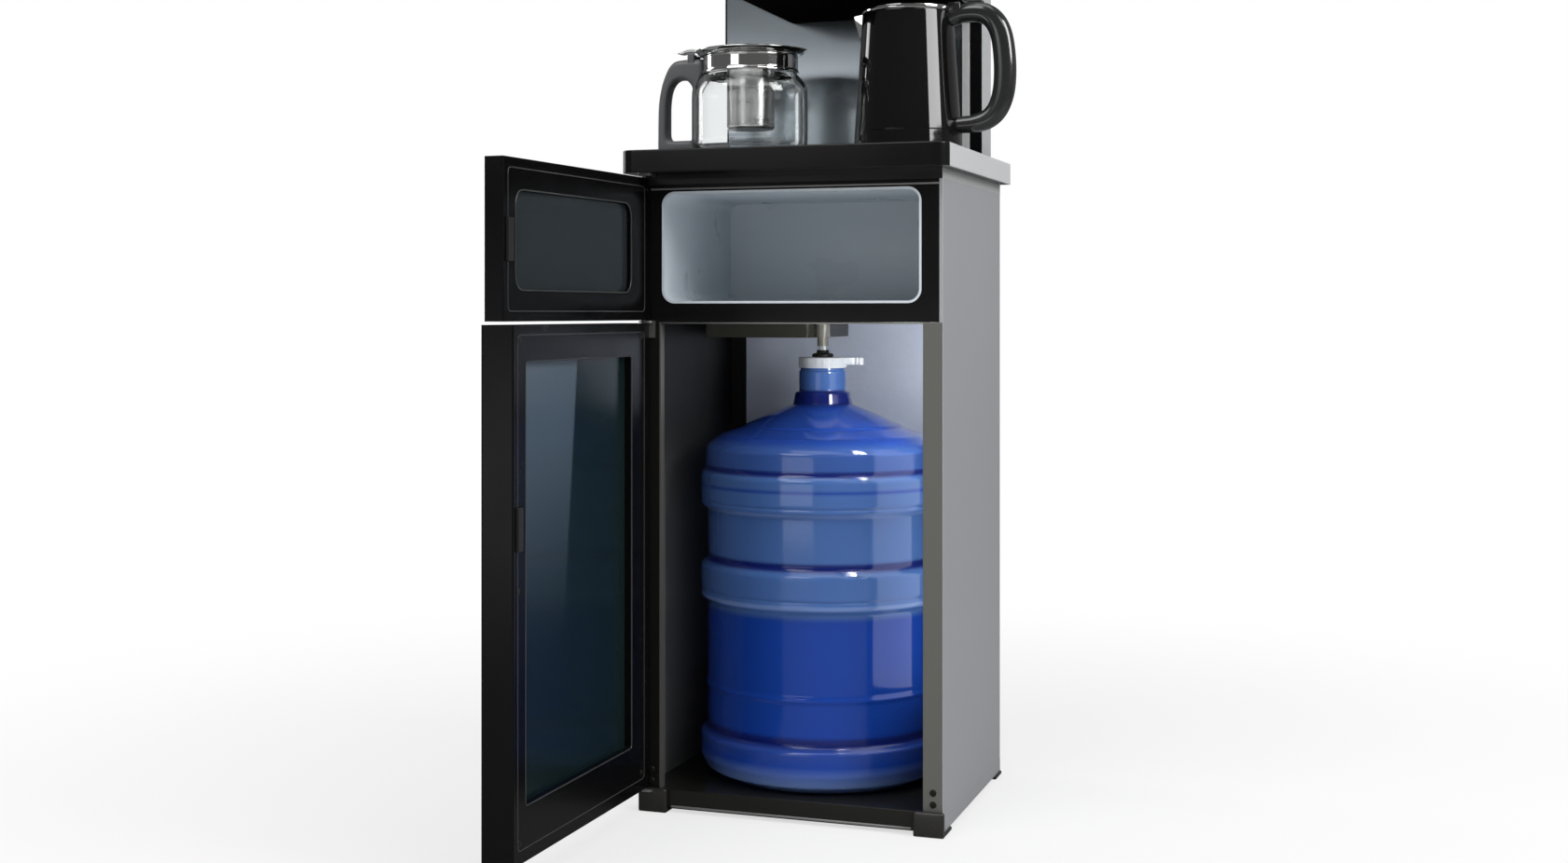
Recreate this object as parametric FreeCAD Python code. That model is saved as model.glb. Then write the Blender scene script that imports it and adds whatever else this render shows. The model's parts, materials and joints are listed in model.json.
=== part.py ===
"""Bottom load water cooler with a cup compartment, a kettle and a glass pot.

Millimetres, +Z up, +Y to the back. The origin is on the floor, under the middle of the cabinet.
Both doors stand open at rest. Each function builds one node, and the table at the end saves them.
"""
import FreeCAD, Part
import math
import os

os.makedirs("parts", exist_ok=True)
V = FreeCAD.Vector
UP = V(0, 0, 1)

# ---------------------------------------------------------------- driving dimensions
# cabinet
BODY_W = 328.0          # over the side panels
BODY_D = 290.0          # front flanges to rear flanges
BODY_TOP = 668.0        # upper edge of the side panels
PANEL_FOOT = 18.0       # lower edge of the side panels
TRAY_FOOT = 4.0         # underside of the base tray
FLOOR_Z = 24.0          # floor that the bottle stands on
SHEET = 1.5             # folded steel sheet
MOULD = 2.5             # moulded plastic wall
FRONT_FLANGE = 21.0     # width of the post beside the bottle bay
TRIM_FLANGE = 4.0       # width of the same fold beside the compartment
FASCIA_T = 3.0          # glossy plate round the compartment's opening
POST_RETURN = 11.0      # fold back at the inner edge of the post
REAR_FLANGE = 14.0
FOLD_R = 1.2            # outer radius of a fold

# top
COLLAR_H = 11.0
DECK_T = 24.0
DECK_OVERHANG_X = 12.0
DECK_OVERHANG_Y = 36.0
DECK_CORNER_R = 14.0

# cup compartment
COMP_SIDE = 25.0        # from the cabinet's side to the opening
COMP_LINTEL = 10.0      # from the opening to the cabinet's upper edge
COMP_H = 114.0
COMP_SILL = 22.0        # from the opening down to the split between the doors
COMP_REAR = 75.0        # room for the pump behind it
COMP_R = 12.0

# doors
DOOR_GAP = 3.0          # door to the front of the cabinet
DOOR_SPLIT = 3.0        # between the two doors
DOOR_FOOT = 26.0        # lower edge of the lower door
DOOR_HEAD_GAP = 4.0     # upper door to the deck
LOWER_DOOR_T = 33.0
UPPER_DOOR_T = 20.0
DOOR_WALL = 3.0
DOOR_GLASS_T = 4.0
LOWER_OPEN = 90.5       # opening angle at rest, degrees
UPPER_OPEN = 92.3
PIVOT_IN = 4.5          # hinge axis from the door's edge
PIVOT_DEPTH = 4.5       # and from its inner face
PIN_D = 5.0
PIN_CLEAR = 0.08        # radial
PIN_REACH = 11.0        # pin length inside a door
BRACKET_T = 2.0

# tower and head
TOTAL_H = 1010.0
TOWER_INSET = 10.0      # from the cabinet's side
TOWER_D = 51.0
TOWER_FACE_T = 3.0
HEAD_H = 140.0
HEAD_W = 227.0
HEAD_SETBACK = 15.0     # behind the cabinet's front
TRIM_INSET = 23.0       # from the tower's side to the far edge of the light strip
TRIM_W = 8.5

# bottle
BOTTLE_D = 270.0
BOTTLE_H = 453.0
BOTTLE_WALL = 1.5
BOTTLE_X = -5.0
BOTTLE_Y = -3.0
NECK_R = 26.2
RIM_R = 24.8
RIM_H = 10.0

# kettle and glass pot
KETTLE_SIDE = 58.0      # kettle's axis from the cabinet's right side
KETTLE_BACK = 85.0      # and behind its front
KETTLE_BASE_R = 57.5
KETTLE_RIM_R = 48.5
KETTLE_H = 152.0        # deck to rim
KETTLE_WALL = 3.0
POT_SIDE = 95.0         # pot's axis from the cabinet's left side
POT_BACK = 81.0         # and behind its front
POT_R = 62.5
POT_WALL = 2.5
POT_H = 108.0           # deck to the upper edge of the steel collar
POT_COLLAR_R = 52.0

SEAT = 0.3              # gap under a piece that lifts or slides
RUN = 0.3               # gap round a piece that moves
FIT = 0.1               # gap round a piece that is set into another
PAST = 5.0              # how far a cutting solid runs past the face that it cuts
EDGE_R = 1.5            # softened edge of a moulding

# ---------------------------------------------------------------- worked-out places
HALF_W = BODY_W / 2
FRONT = -BODY_D / 2
BACK = BODY_D / 2
INNER_X = HALF_W - SHEET
POST_X = INNER_X - FRONT_FLANGE + SHEET
SPLIT_Z = BODY_TOP - COMP_LINTEL - COMP_H - COMP_SILL
DECK_Z = BODY_TOP + COLLAR_H
DECK_TOP = DECK_Z + DECK_T
DECK_FRONT = FRONT - DECK_OVERHANG_Y
COMP_Z0 = SPLIT_Z + COMP_SILL
COMP_Z1 = COMP_Z0 + COMP_H
COMP_HALF = HALF_W - COMP_SIDE
COMP_BACK = BACK - COMP_REAR
CEILING_Z = SPLIT_Z - 2.0
DOOR_IN = FRONT - DOOR_GAP
LOWER_TOP = SPLIT_Z - DOOR_SPLIT / 2
UPPER_FOOT = SPLIT_Z + DOOR_SPLIT / 2
UPPER_TOP = DECK_Z - DOOR_HEAD_GAP
PIVOT = V(-HALF_W + PIVOT_IN, DOOR_IN - PIVOT_DEPTH, 0)
TOWER_X = HALF_W - TOWER_INSET
TOWER_FRONT = BACK - TOWER_D
TRIM_LEFT = TOWER_X - TRIM_INSET
HEAD_Z = TOTAL_H - HEAD_H
HEAD_LEFT = TOWER_X - HEAD_W
HEAD_FRONT = FRONT + HEAD_SETBACK
HEAD_MID = TOWER_X - HEAD_W / 2
KETTLE_X = HALF_W - KETTLE_SIDE
KETTLE_Y = FRONT + KETTLE_BACK
KETTLE_TOP = DECK_TOP + KETTLE_H
POT_X = -HALF_W + POT_SIDE
POT_Y = FRONT + POT_BACK
POT_TOP = DECK_TOP + POT_H
BOTTLE_Z = FLOOR_Z + SEAT
CAP_Z = BOTTLE_Z + BOTTLE_H


# ---------------------------------------------------------------- shape helpers
def box(x0, x1, y0, y1, z0, z1):
    return Part.makeBox(x1 - x0, y1 - y0, z1 - z0, V(x0, y0, z0))


def rod(x, y, z0, z1, radius):
    return Part.makeCylinder(radius, z1 - z0, V(x, y, z0))


def bar(axis, start, length, radius):
    return Part.makeCylinder(radius, length, start, axis)


def group(solids):
    return Part.makeCompound(solids)


def fillet_along(shape, axis, radius, keep=lambda edge: True):
    """Round the straight edges that run along one axis."""
    edges = []
    for edge in shape.Edges:
        a, b = edge.Vertexes[0].Point, edge.Vertexes[-1].Point
        run = b.sub(a)
        if run.Length < 1e-6:
            continue
        if abs(abs(run.normalize().dot(axis)) - 1) < 1e-6 and keep(edge):
            edges.append(edge)
    return shape.makeFillet(radius, edges)


def window_block(x0, x1, y0, y1, z0, z1, radius):
    """A block with round corners in the X-Z plane."""
    return fillet_along(box(x0, x1, y0, y1, z0, z1), V(0, 1, 0), radius)


def revolved(points, x, y):
    """Turn a closed outline of (radius, height) points round the vertical axis at x, y."""
    wire = Part.makePolygon([V(r, 0, z) for r, z in points + points[:1]])
    solid = Part.Face(wire).revolve(V(0, 0, 0), UP, 360)
    solid.translate(V(x, y, 0))
    return solid


def screw_head(x, y, z, radius, height, toward):
    """A flat screw head that stands on the face at y."""
    return bar(V(0, toward, 0), V(x, y, z), height, radius)


def prism(points, y0, y1):
    """Extrude an outline of (x, z) points from y0 to y1."""
    wire = Part.makePolygon([V(x, y0, z) for x, z in points + points[:1]])
    return Part.Face(wire).extrude(V(0, y1 - y0, 0))


def tube(points, outer, inner, bend):
    """A pipe along straight runs joined by tangent arcs."""
    corners = [V(*p) for p in points]
    edges = []
    last = corners[0]
    for before, at, after in zip(corners, corners[1:], corners[2:]):
        back = before.sub(at).normalize()
        ahead = after.sub(at).normalize()
        half = math.acos(max(-1, min(1, back.dot(ahead)))) / 2
        reach = bend / math.tan(half)
        start = at + back * reach
        stop = at + ahead * reach
        centre = at + (back + ahead).normalize() * (bend / math.sin(half))
        middle = centre + (at - centre).normalize() * bend
        edges.append(Part.LineSegment(last, start).toShape())
        edges.append(Part.Arc(start, middle, stop).toShape())
        last = stop
    edges.append(Part.LineSegment(last, corners[-1]).toShape())
    path = Part.Wire(edges)
    direction = corners[1].sub(corners[0])
    rings = [Part.Wire(Part.makeCircle(r, corners[0], direction)) for r in (outer, inner)]
    pipe = path.makePipeShell([rings[0]], True, False)
    return pipe.cut(path.makePipeShell([rings[1]], True, False))


def ribbed_slab(x0, x1, y0, y1, z0, z1, wall):
    """A moulded slab, hollow from below, with ribs between its cells."""
    slab = box(x0, x1, y0, y1, z0, z1)
    cell_x = (x1 - x0 - wall * (CELLS + 1)) / CELLS
    cell_y = (y1 - y0 - wall * (CELLS + 1)) / CELLS
    for column in range(CELLS):
        for row in range(CELLS):
            left = x0 + wall + column * (cell_x + wall)
            near = y0 + wall + row * (cell_y + wall)
            slab = slab.cut(box(left, left + cell_x, near, near + cell_y, z0, z1 - CELL_SKIN))
    return slab


def swing(shape, opened):
    """Turn a door piece from closed to the angle at which it stands open."""
    shape.rotate(PIVOT, UP, -opened)
    return shape


# ---------------------------------------------------------------- base
TRAY_WALL = 3.0
CELLS = 4               # cells each way under a ribbed moulding
CELL_SKIN = 3.0
FOOT_W = 32.0
FOOT_OUT = 2.0
FOOT_PROUD = 8.0
FOOT_TOP = 22.5
FOOT_TAB_W = 14.0
FOOT_TAB_TOP = 26.0
TAB_T = 1.5


def base_tray():
    """Ribbed plinth with the raised floor of the bottle bay."""
    plinth = ribbed_slab(-HALF_W, HALF_W, FRONT, BACK, TRAY_FOOT, PANEL_FOOT, TRAY_WALL)
    floor = box(-INNER_X, INNER_X, FRONT + SHEET, BACK - SHEET, PANEL_FOOT, FLOOR_Z)
    inset = POST_X - RUN
    sill = box(-inset, inset, FRONT, FRONT + SHEET, PANEL_FOOT, FLOOR_Z)
    post_room = []
    for side in (-1, 1):
        a, b = sorted((side * inset, side * INNER_X))
        post_room.append(box(a, b, FRONT, FRONT + POST_RETURN + SHEET + RUN, PANEL_FOOT, FLOOR_Z))
        c, d = sorted((side * (INNER_X - REAR_FLANGE - RUN), side * INNER_X))
        post_room.append(box(c, d, BACK - 3 * SHEET, BACK, PANEL_FOOT, FLOOR_Z))
    return plinth.fuse([floor, sill]).cut(group(post_room)).removeSplitter()


def corner_feet():
    """Four feet under the tray; the front pair wrap its corners and carry a screw tab."""
    feet = []
    outer = HALF_W + FOOT_OUT
    for side in (-1, 1):
        inner = side * (outer - FOOT_W)
        x0, x1 = sorted((inner, side * outer))
        rear = box(x0, x1, BACK - FOOT_W, BACK, 0, TRAY_FOOT)
        pad = box(x0, x1, FRONT - FOOT_PROUD, FRONT + FOOT_W, 0, TRAY_FOOT)
        front = box(x0, x1, FRONT - FOOT_PROUD, FRONT, 0, FOOT_TOP)
        front = fillet_along(front.fuse(pad).removeSplitter(), UP, EDGE_R)
        t0, t1 = sorted((inner, inner + side * FOOT_TAB_W))
        tab = box(t0, t1, FRONT - TAB_T, FRONT, FOOT_TOP, FOOT_TAB_TOP)
        feet += [front.fuse(tab).removeSplitter(), rear]
    return group(feet)


# ---------------------------------------------------------------- cabinet sheet work
def side_panel(side):
    """Folded side: web, front post with its return, narrow fold above, rear flange."""
    def span(a, b, y0, y1, z0, z1):
        x0, x1 = sorted((side * a, side * b))
        return box(x0, x1, y0, y1, z0, z1)

    web = span(INNER_X, HALF_W, FRONT, BACK, PANEL_FOOT, BODY_TOP)
    post = span(POST_X, INNER_X, FRONT, FRONT + SHEET, PANEL_FOOT, SPLIT_Z - RUN)
    fold_back = span(POST_X, POST_X + SHEET, FRONT + SHEET, FRONT + SHEET + POST_RETURN,
                     PANEL_FOOT, CEILING_Z - 1)
    fold = span(HALF_W - TRIM_FLANGE, INNER_X, FRONT, FRONT + SHEET, SPLIT_Z - RUN, BODY_TOP)
    rear = span(INNER_X - REAR_FLANGE, INNER_X, BACK - SHEET, BACK, PANEL_FOOT, BODY_TOP)
    panel = web.fuse([post, fold_back, fold, rear]).removeSplitter()
    outer = [e for e in panel.Edges
             if abs(e.Length - (BODY_TOP - PANEL_FOOT)) < 1e-6
             and abs(abs(e.Vertexes[0].X) - HALF_W) < 1e-6]
    return panel.makeFillet(FOLD_R, outer)


BACK_PANEL_T = 1.5
BACK_PANEL_Y = BACK - SHEET - BACK_PANEL_T
VENT_COUNT = 6
VENT_PITCH = 12.0
VENT_W = 120.0
VENT_H = 4.0
VENT_Z = SPLIT_Z + 38
INLET_X = HALF_W - 64
INLET_Z = 45.0
INLET_W = 60.0
INLET_H = 52.0


def back_panel():
    """Rear sheet between the flanges, with vents for the pump room and a hole for the inlet."""
    edge = INNER_X - RUN / 2
    y0, y1 = BACK_PANEL_Y, BACK_PANEL_Y + BACK_PANEL_T
    sheet = box(-edge, edge, y0, y1, FLOOR_Z, BODY_TOP)
    for index in range(VENT_COUNT):
        z = VENT_Z + index * VENT_PITCH
        sheet = sheet.cut(window_block(-VENT_W / 2, VENT_W / 2, y0 - PAST, y1 + PAST, z,
                                       z + VENT_H, VENT_H * 0.45))
    return sheet.cut(inlet_hole(FIT, y0 - PAST))


def inlet_hole(gap, y0):
    """Cutting block round the mains inlet, from y0 to behind the cabinet."""
    half = INLET_W / 2 + gap
    return box(INLET_X - half, INLET_X + half, y0, BACK + PAST, INLET_Z - gap,
               INLET_Z + INLET_H + gap)


BACKING_T = 6.0
BACKING_Y = BACK_PANEL_Y - BACKING_T
DUCT_H = 16.0
DUCT_WALL = 2.0
DUCT_X0 = -HALF_W + 30
FITTING_R = 8.0
DUCT_X1 = BOTTLE_X - FITTING_R
DUCT_Y0 = BOTTLE_Y - 29
DUCT_Y1 = BACKING_Y - 4


def bay_back_wall():
    """Foil-faced board at the back of the bottle bay."""
    edge = INNER_X - REAR_FLANGE
    board = box(-edge, edge, BACKING_Y, BACK_PANEL_Y, FLOOR_Z, CEILING_Z)
    return board.cut(inlet_hole(1, BACKING_Y + 1))


PIPE_X = -HALF_W + 91
PIPE_Y = BACK - 35
PIPE_R = 4.0
PIPE_WALL = 1.0
PIPE_BEND = 14.0


def bay_ceiling():
    """Sheet shelf between the bottle bay and the compartment."""
    edge = INNER_X - RUN / 2
    shelf = box(-edge, edge, FRONT + FASCIA_T + RUN, BACK_PANEL_Y, CEILING_Z, CEILING_Z + SHEET)
    half = PIPE_R + 1
    return shelf.cut(box(PIPE_X - half, PIPE_X + half, PIPE_Y - PIPE_BEND - half, PIPE_Y + half,
                         CEILING_Z - PAST, CEILING_Z + PAST))


def hose_duct():
    """Shallow tray under the ceiling that hides the water line."""
    tray = box(DUCT_X0, DUCT_X1, DUCT_Y0, DUCT_Y1, CEILING_Z - DUCT_H, CEILING_Z)
    tray = fillet_along(tray, UP, DUCT_WALL + 1)
    room = box(DUCT_X0 + DUCT_WALL, DUCT_X1 - DUCT_WALL, DUCT_Y0 + DUCT_WALL,
               DUCT_Y1 - DUCT_WALL, CEILING_Z - DUCT_H + DUCT_WALL, CEILING_Z)
    side_hole = bar(V(1, 0, 0), V(DUCT_X1 - PAST, BOTTLE_Y, CEILING_Z - DUCT_H / 2), 2 * PAST,
                    PIPE_R + RUN)
    return tray.cut(room).cut(side_hole)


HOSE_R = 6.0
SPIGOT = 3.0
NIPPLE_H = 4.0
CAP_TOP = 13.0
HOSE_Z = CAP_Z + CAP_TOP + NIPPLE_H + SEAT


def hose_fitting():
    """Elbow under the ceiling, from the hose into the duct."""
    low = CEILING_Z - DUCT_H
    middle = V(BOTTLE_X, BOTTLE_Y, CEILING_Z - DUCT_H / 2)
    left = V(-1, 0, 0)
    body = rod(BOTTLE_X, BOTTLE_Y, low, CEILING_Z, FITTING_R)
    spigot = bar(left, middle, FITTING_R + SPIGOT, PIPE_R)
    bore = rod(BOTTLE_X, BOTTLE_Y, low, middle.z, PIPE_R - PIPE_WALL)
    way = bar(left, middle, FITTING_R + SPIGOT, PIPE_R - PIPE_WALL)
    return body.fuse(spigot).cut(bore).cut(way).removeSplitter()


def supply_hose():
    """Short hose that hangs over the bottle cap."""
    top = CEILING_Z - DUCT_H
    return rod(BOTTLE_X, BOTTLE_Y, HOSE_Z, top, HOSE_R).cut(
        rod(BOTTLE_X, BOTTLE_Y, HOSE_Z, top, PIPE_R - PIPE_WALL))


PUMP_Z = SPLIT_Z + 42
PUMP_HEAD_R = 20.0
PUMP_HEAD_L = 22.0
PUMP_MOTOR_R = 16.0
PUMP_MOTOR_L = 50.0
PUMP_SADDLE_D = 28.0
PUMP_SADDLE_L = 30.0
PUMP_NIPPLE = 6.0
RISER_H = 40.0
NOZZLE_STEM = 14.0


def water_pipes():
    """Water line from the duct to the pump, and from the pump up the tower to the spout."""
    z = CEILING_Z - DUCT_H / 2
    inlet = [(DUCT_X1 - SPIGOT, BOTTLE_Y, z), (PIPE_X, BOTTLE_Y, z), (PIPE_X, PIPE_Y, z),
             (PIPE_X, PIPE_Y, PUMP_Z - PUMP_HEAD_R - PUMP_NIPPLE)]
    top = HEAD_Z + RISER_H
    riser = [(PIPE_X, PIPE_Y, PUMP_Z + PUMP_HEAD_R + PUMP_NIPPLE), (PIPE_X, PIPE_Y, top),
             (KETTLE_X, PIPE_Y, top), (KETTLE_X, KETTLE_Y, top),
             (KETTLE_X, KETTLE_Y, HEAD_Z + NOZZLE_STEM)]
    return group([tube(route, PIPE_R, PIPE_R - PIPE_WALL, PIPE_BEND) for route in (inlet, riser)])


def water_pump():
    """Motor, pump head and two nipples, lying across the back of the cabinet on a saddle."""
    along = V(1, 0, 0)
    head_end = PIPE_X + PUMP_HEAD_L / 2
    motor_end = head_end + PUMP_MOTOR_L
    head = bar(along, V(head_end - PUMP_HEAD_L, PIPE_Y, PUMP_Z), PUMP_HEAD_L, PUMP_HEAD_R)
    motor = bar(along, V(head_end, PIPE_Y, PUMP_Z), PUMP_MOTOR_L, PUMP_MOTOR_R)
    low = rod(PIPE_X, PIPE_Y, PUMP_Z - PUMP_HEAD_R - PUMP_NIPPLE, PUMP_Z, PIPE_R)
    high = rod(PIPE_X, PIPE_Y, PUMP_Z, PUMP_Z + PUMP_HEAD_R + PUMP_NIPPLE, PIPE_R)
    saddle = box(motor_end - 11 - PUMP_SADDLE_L, motor_end - 11, PIPE_Y - PUMP_SADDLE_D / 2,
                 PIPE_Y + PUMP_SADDLE_D / 2, CEILING_Z + SHEET, PUMP_Z)
    return head.fuse([motor, low, high, saddle]).removeSplitter()


# ---------------------------------------------------------------- cup compartment
LINER_WALL = 2.5
LINER_FLANGE = 9.0
LINER_FLANGE_T = 2.0


def compartment_frame():
    """Glossy front of the compartment with its round-cornered opening."""
    edge = HALF_W - TRIM_FLANGE - RUN / 2
    plate = box(-edge, edge, FRONT, FRONT + FASCIA_T, SPLIT_Z, BODY_TOP)
    w = COMP_HALF + LINER_WALL
    hole = window_block(-w, w, FRONT - PAST, FRONT + FASCIA_T + PAST, COMP_Z0 - LINER_WALL,
                        COMP_Z1 + LINER_WALL, COMP_R + LINER_WALL)
    return plate.cut(hole)


def compartment_liner():
    """Light inner box; its rim fills the opening of the frame."""
    w = COMP_HALF
    outer = window_block(-w - LINER_WALL, w + LINER_WALL, FRONT, COMP_BACK + LINER_WALL,
                         COMP_Z0 - LINER_WALL, COMP_Z1 + LINER_WALL, COMP_R + LINER_WALL)
    behind = FRONT + FASCIA_T
    flange = box(-w - LINER_FLANGE, w + LINER_FLANGE, behind, behind + LINER_FLANGE_T,
                 COMP_Z0 - LINER_FLANGE, COMP_Z1 + LINER_FLANGE)
    room = window_block(-w, w, FRONT - PAST, COMP_BACK, COMP_Z0, COMP_Z1, COMP_R)
    return outer.fuse(flange).cut(room).removeSplitter()


# ---------------------------------------------------------------- collar and deck
PLATE_T = 3.0
PLATE_R = POT_R + 2.5
PLATE_PROUD = 1.0
PLATE_LEDGE = 8.0
PLATE_Z = DECK_TOP + PLATE_PROUD - PLATE_T
HEATER_T = 8.0


def collar():
    """Shallow moulding between the cabinet and the deck."""
    slab = ribbed_slab(-HALF_W, HALF_W, FRONT, BACK, BODY_TOP, DECK_Z, MOULD)
    return slab.cut(rod(PIPE_X, PIPE_Y, BODY_TOP - PAST, DECK_Z + PAST, PIPE_R + 1))


def deck():
    """Worktop that overhangs the doors, with round front corners."""
    edge = HALF_W + DECK_OVERHANG_X
    slab = box(-edge, edge, DECK_FRONT, BACK, DECK_Z, DECK_TOP)
    slab = fillet_along(slab, UP, DECK_CORNER_R, lambda e: e.Vertexes[0].Y < 0)
    rim = [e for e in slab.Edges if min(v.Z for v in e.Vertexes) > DECK_TOP - 1e-6]
    slab = slab.makeFillet(EDGE_R, rim)
    cells = ribbed_slab(-HALF_W, HALF_W, FRONT, BACK, DECK_Z, DECK_TOP, MOULD)
    slab = slab.cut(box(-HALF_W, HALF_W, FRONT, BACK, DECK_Z, DECK_TOP - CELL_SKIN))
    slab = slab.fuse(cells).removeSplitter()
    heater_room = rod(POT_X, POT_Y, PLATE_Z - HEATER_T - 1, DECK_TOP, PLATE_R - PLATE_LEDGE)
    plate_room = rod(POT_X, POT_Y, PLATE_Z, DECK_TOP, PLATE_R)
    pipe_room = rod(PIPE_X, PIPE_Y, DECK_Z - PAST, DECK_TOP + PAST, PIPE_R + 1)
    return slab.cut(heater_room).cut(plate_room).cut(pipe_room)


def warming_plate():
    """Glass disc that keeps the pot warm, let into the deck."""
    return rod(POT_X, POT_Y, PLATE_Z, PLATE_Z + PLATE_T, PLATE_R - FIT)


def plate_heater():
    """Heating disc under the warming plate."""
    return rod(POT_X, POT_Y, PLATE_Z - HEATER_T, PLATE_Z, PLATE_R - PLATE_LEDGE - 0.5)


BASE_R = KETTLE_BASE_R + 0.5
BASE_H = 5.0
CONTACT_R = 7.0
CONTACT_H = 6.0


def kettle_base():
    """Power base on the deck with its raised contact."""
    disc = rod(KETTLE_X, KETTLE_Y, DECK_TOP, DECK_TOP + BASE_H, BASE_R)
    rim = [e for e in disc.Edges if e.Vertexes[0].Z > DECK_TOP + 1 and e.Length > BASE_R]
    disc = disc.makeFillet(EDGE_R, rim)
    post = rod(KETTLE_X, KETTLE_Y, DECK_TOP + BASE_H, DECK_TOP + BASE_H + CONTACT_H, CONTACT_R)
    return disc.fuse(post).removeSplitter()


# ---------------------------------------------------------------- tower and head
TOWER_R = 4.0
TRIM_PROUD = 0.8


def tower_shell():
    """Rear casing of the tower with its black front border, open to the front and below."""
    outer = box(-TOWER_X, TOWER_X, TOWER_FRONT, BACK, DECK_TOP, TOTAL_H)
    outer = fillet_along(outer, UP, TOWER_R, lambda e: e.Vertexes[0].Y > BACK - 1)
    room = box(-TOWER_X + MOULD, TOWER_X - MOULD, TOWER_FRONT, BACK - MOULD, DECK_TOP,
               TOTAL_H - MOULD)
    border = box(TRIM_LEFT + TRIM_W, TOWER_X - MOULD, TOWER_FRONT, TOWER_FRONT + TOWER_FACE_T,
                 DECK_TOP, HEAD_Z)
    return outer.cut(room).fuse(border).removeSplitter()


def face_strip(x0, x1, proud, above_head):
    """Part of the tower's face, between x0 and x1, fitted inside the shell's edges."""
    top = TOTAL_H - MOULD if above_head else HEAD_Z
    y0 = TOWER_FRONT - proud
    return box(x0, x1, y0, TOWER_FRONT + TOWER_FACE_T, DECK_TOP, top)


def tower_panel():
    """Mirror-finished face of the tower; its left part runs up beside the head."""
    low = face_strip(-TOWER_X + MOULD, TRIM_LEFT, 0, False)
    high = face_strip(-TOWER_X + MOULD, HEAD_LEFT, 0, True)
    return low.fuse(high).removeSplitter()


def tower_trim():
    """Light strip beside the mirror panel."""
    return face_strip(TRIM_LEFT, TRIM_LEFT + TRIM_W, TRIM_PROUD, False)


BUTTON_R = 7.0
BUTTON_Z = HEAD_Z + 30
BUTTON_PITCH = 50.5
BUTTON_PROUD = 1.8
BUTTON_FLANGE = 1.5
BUTTON_LIP = 1.5
BUTTON_TRAVEL = 1.5
PLUNGER_L = 1.0
PLUNGER_R = 3.0
PANEL_T = 2.5
PANEL_FOOT_GAP = 12.0
PANEL_HEAD_GAP = 14.0
PANEL_R = 6.0
LENS_X0 = HEAD_MID - BUTTON_PITCH
LENS_X1 = HEAD_MID + BUTTON_PITCH
LENS_Z0 = HEAD_Z + 60
LENS_Z1 = HEAD_Z + 105
LENS_DEEP = 0.6
NOZZLE_R = 11.0
NOZZLE_STEM_R = 8.0
NOZZLE_FLANGE = 3.0
HEAD_R = 12.0
BUTTON_X = [HEAD_MID + step * BUTTON_PITCH for step in (-1, 0, 1)]


def head_shell():
    """Head over the kettle, open below and behind."""
    outer = box(HEAD_LEFT, TOWER_X, HEAD_FRONT, TOWER_FRONT, HEAD_Z, TOTAL_H)
    outer = fillet_along(outer, UP, HEAD_R, at_head_front)
    room = box(HEAD_LEFT + MOULD, TOWER_X - MOULD, HEAD_FRONT + MOULD, TOWER_FRONT, HEAD_Z,
               TOTAL_H - MOULD)
    room = fillet_along(room, UP, HEAD_R - MOULD, at_head_front)
    shell = outer.cut(room)
    for x in BUTTON_X:
        shell = shell.cut(button_hole(x))
    return shell


def at_head_front(edge):
    return edge.Vertexes[0].Y < HEAD_FRONT + 2 * MOULD


def button_hole(x):
    start = V(x, HEAD_FRONT - PAST, BUTTON_Z)
    return bar(V(0, 1, 0), start, 2 * PAST, BUTTON_R + RUN)


def head_cover():
    """Underside of the head, with the hole for the spout."""
    inset = MOULD + FIT
    plate = box(HEAD_LEFT + inset, TOWER_X - inset, HEAD_FRONT + inset, TOWER_FRONT, HEAD_Z,
                HEAD_Z + MOULD)
    plate = fillet_along(plate, UP, HEAD_R - MOULD, at_head_front)
    return plate.cut(rod(KETTLE_X, KETTLE_Y, HEAD_Z - PAST, HEAD_Z + PAST, NOZZLE_STEM_R))


def spout_nozzle():
    """Fixed outlet over the kettle's filling hole, clipped through the cover."""
    top = HEAD_Z + NOZZLE_STEM
    flange = rod(KETTLE_X, KETTLE_Y, HEAD_Z - NOZZLE_FLANGE, HEAD_Z, NOZZLE_R)
    stem = rod(KETTLE_X, KETTLE_Y, HEAD_Z, top, NOZZLE_STEM_R)
    body = flange.fuse(stem).removeSplitter()
    return body.cut(rod(KETTLE_X, KETTLE_Y, HEAD_Z - PAST, top + PAST, PIPE_R - PIPE_WALL))


def control_panel():
    """Front plate of the head, with holes for the buttons and a sunk display window."""
    inset = HEAD_R + 1
    plate = window_block(HEAD_LEFT + inset, TOWER_X - inset, HEAD_FRONT - PANEL_T, HEAD_FRONT,
                         HEAD_Z + PANEL_FOOT_GAP, TOTAL_H - PANEL_HEAD_GAP, PANEL_R)
    for x in BUTTON_X:
        plate = plate.cut(button_hole(x))
    face = HEAD_FRONT - PANEL_T
    return plate.cut(box(LENS_X0, LENS_X1, face, face + LENS_DEEP, LENS_Z0, LENS_Z1))


def push_button(x):
    """Round button with a retaining flange and a plunger behind it."""
    along = V(0, 1, 0)
    face = HEAD_FRONT - PANEL_T - BUTTON_PROUD
    seat = HEAD_FRONT + MOULD + RUN
    cap = bar(along, V(x, face, BUTTON_Z), seat - face, BUTTON_R)
    ring = [e for e in cap.Edges if e.Vertexes[0].Y < face + 1e-6]
    cap = cap.makeFillet(0.8, ring)
    flange = bar(along, V(x, seat, BUTTON_Z), BUTTON_FLANGE, BUTTON_R + BUTTON_LIP)
    plunger = bar(along, V(x, seat + BUTTON_FLANGE, BUTTON_Z), PLUNGER_L, PLUNGER_R)
    return cap.fuse([flange, plunger]).removeSplitter()


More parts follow.
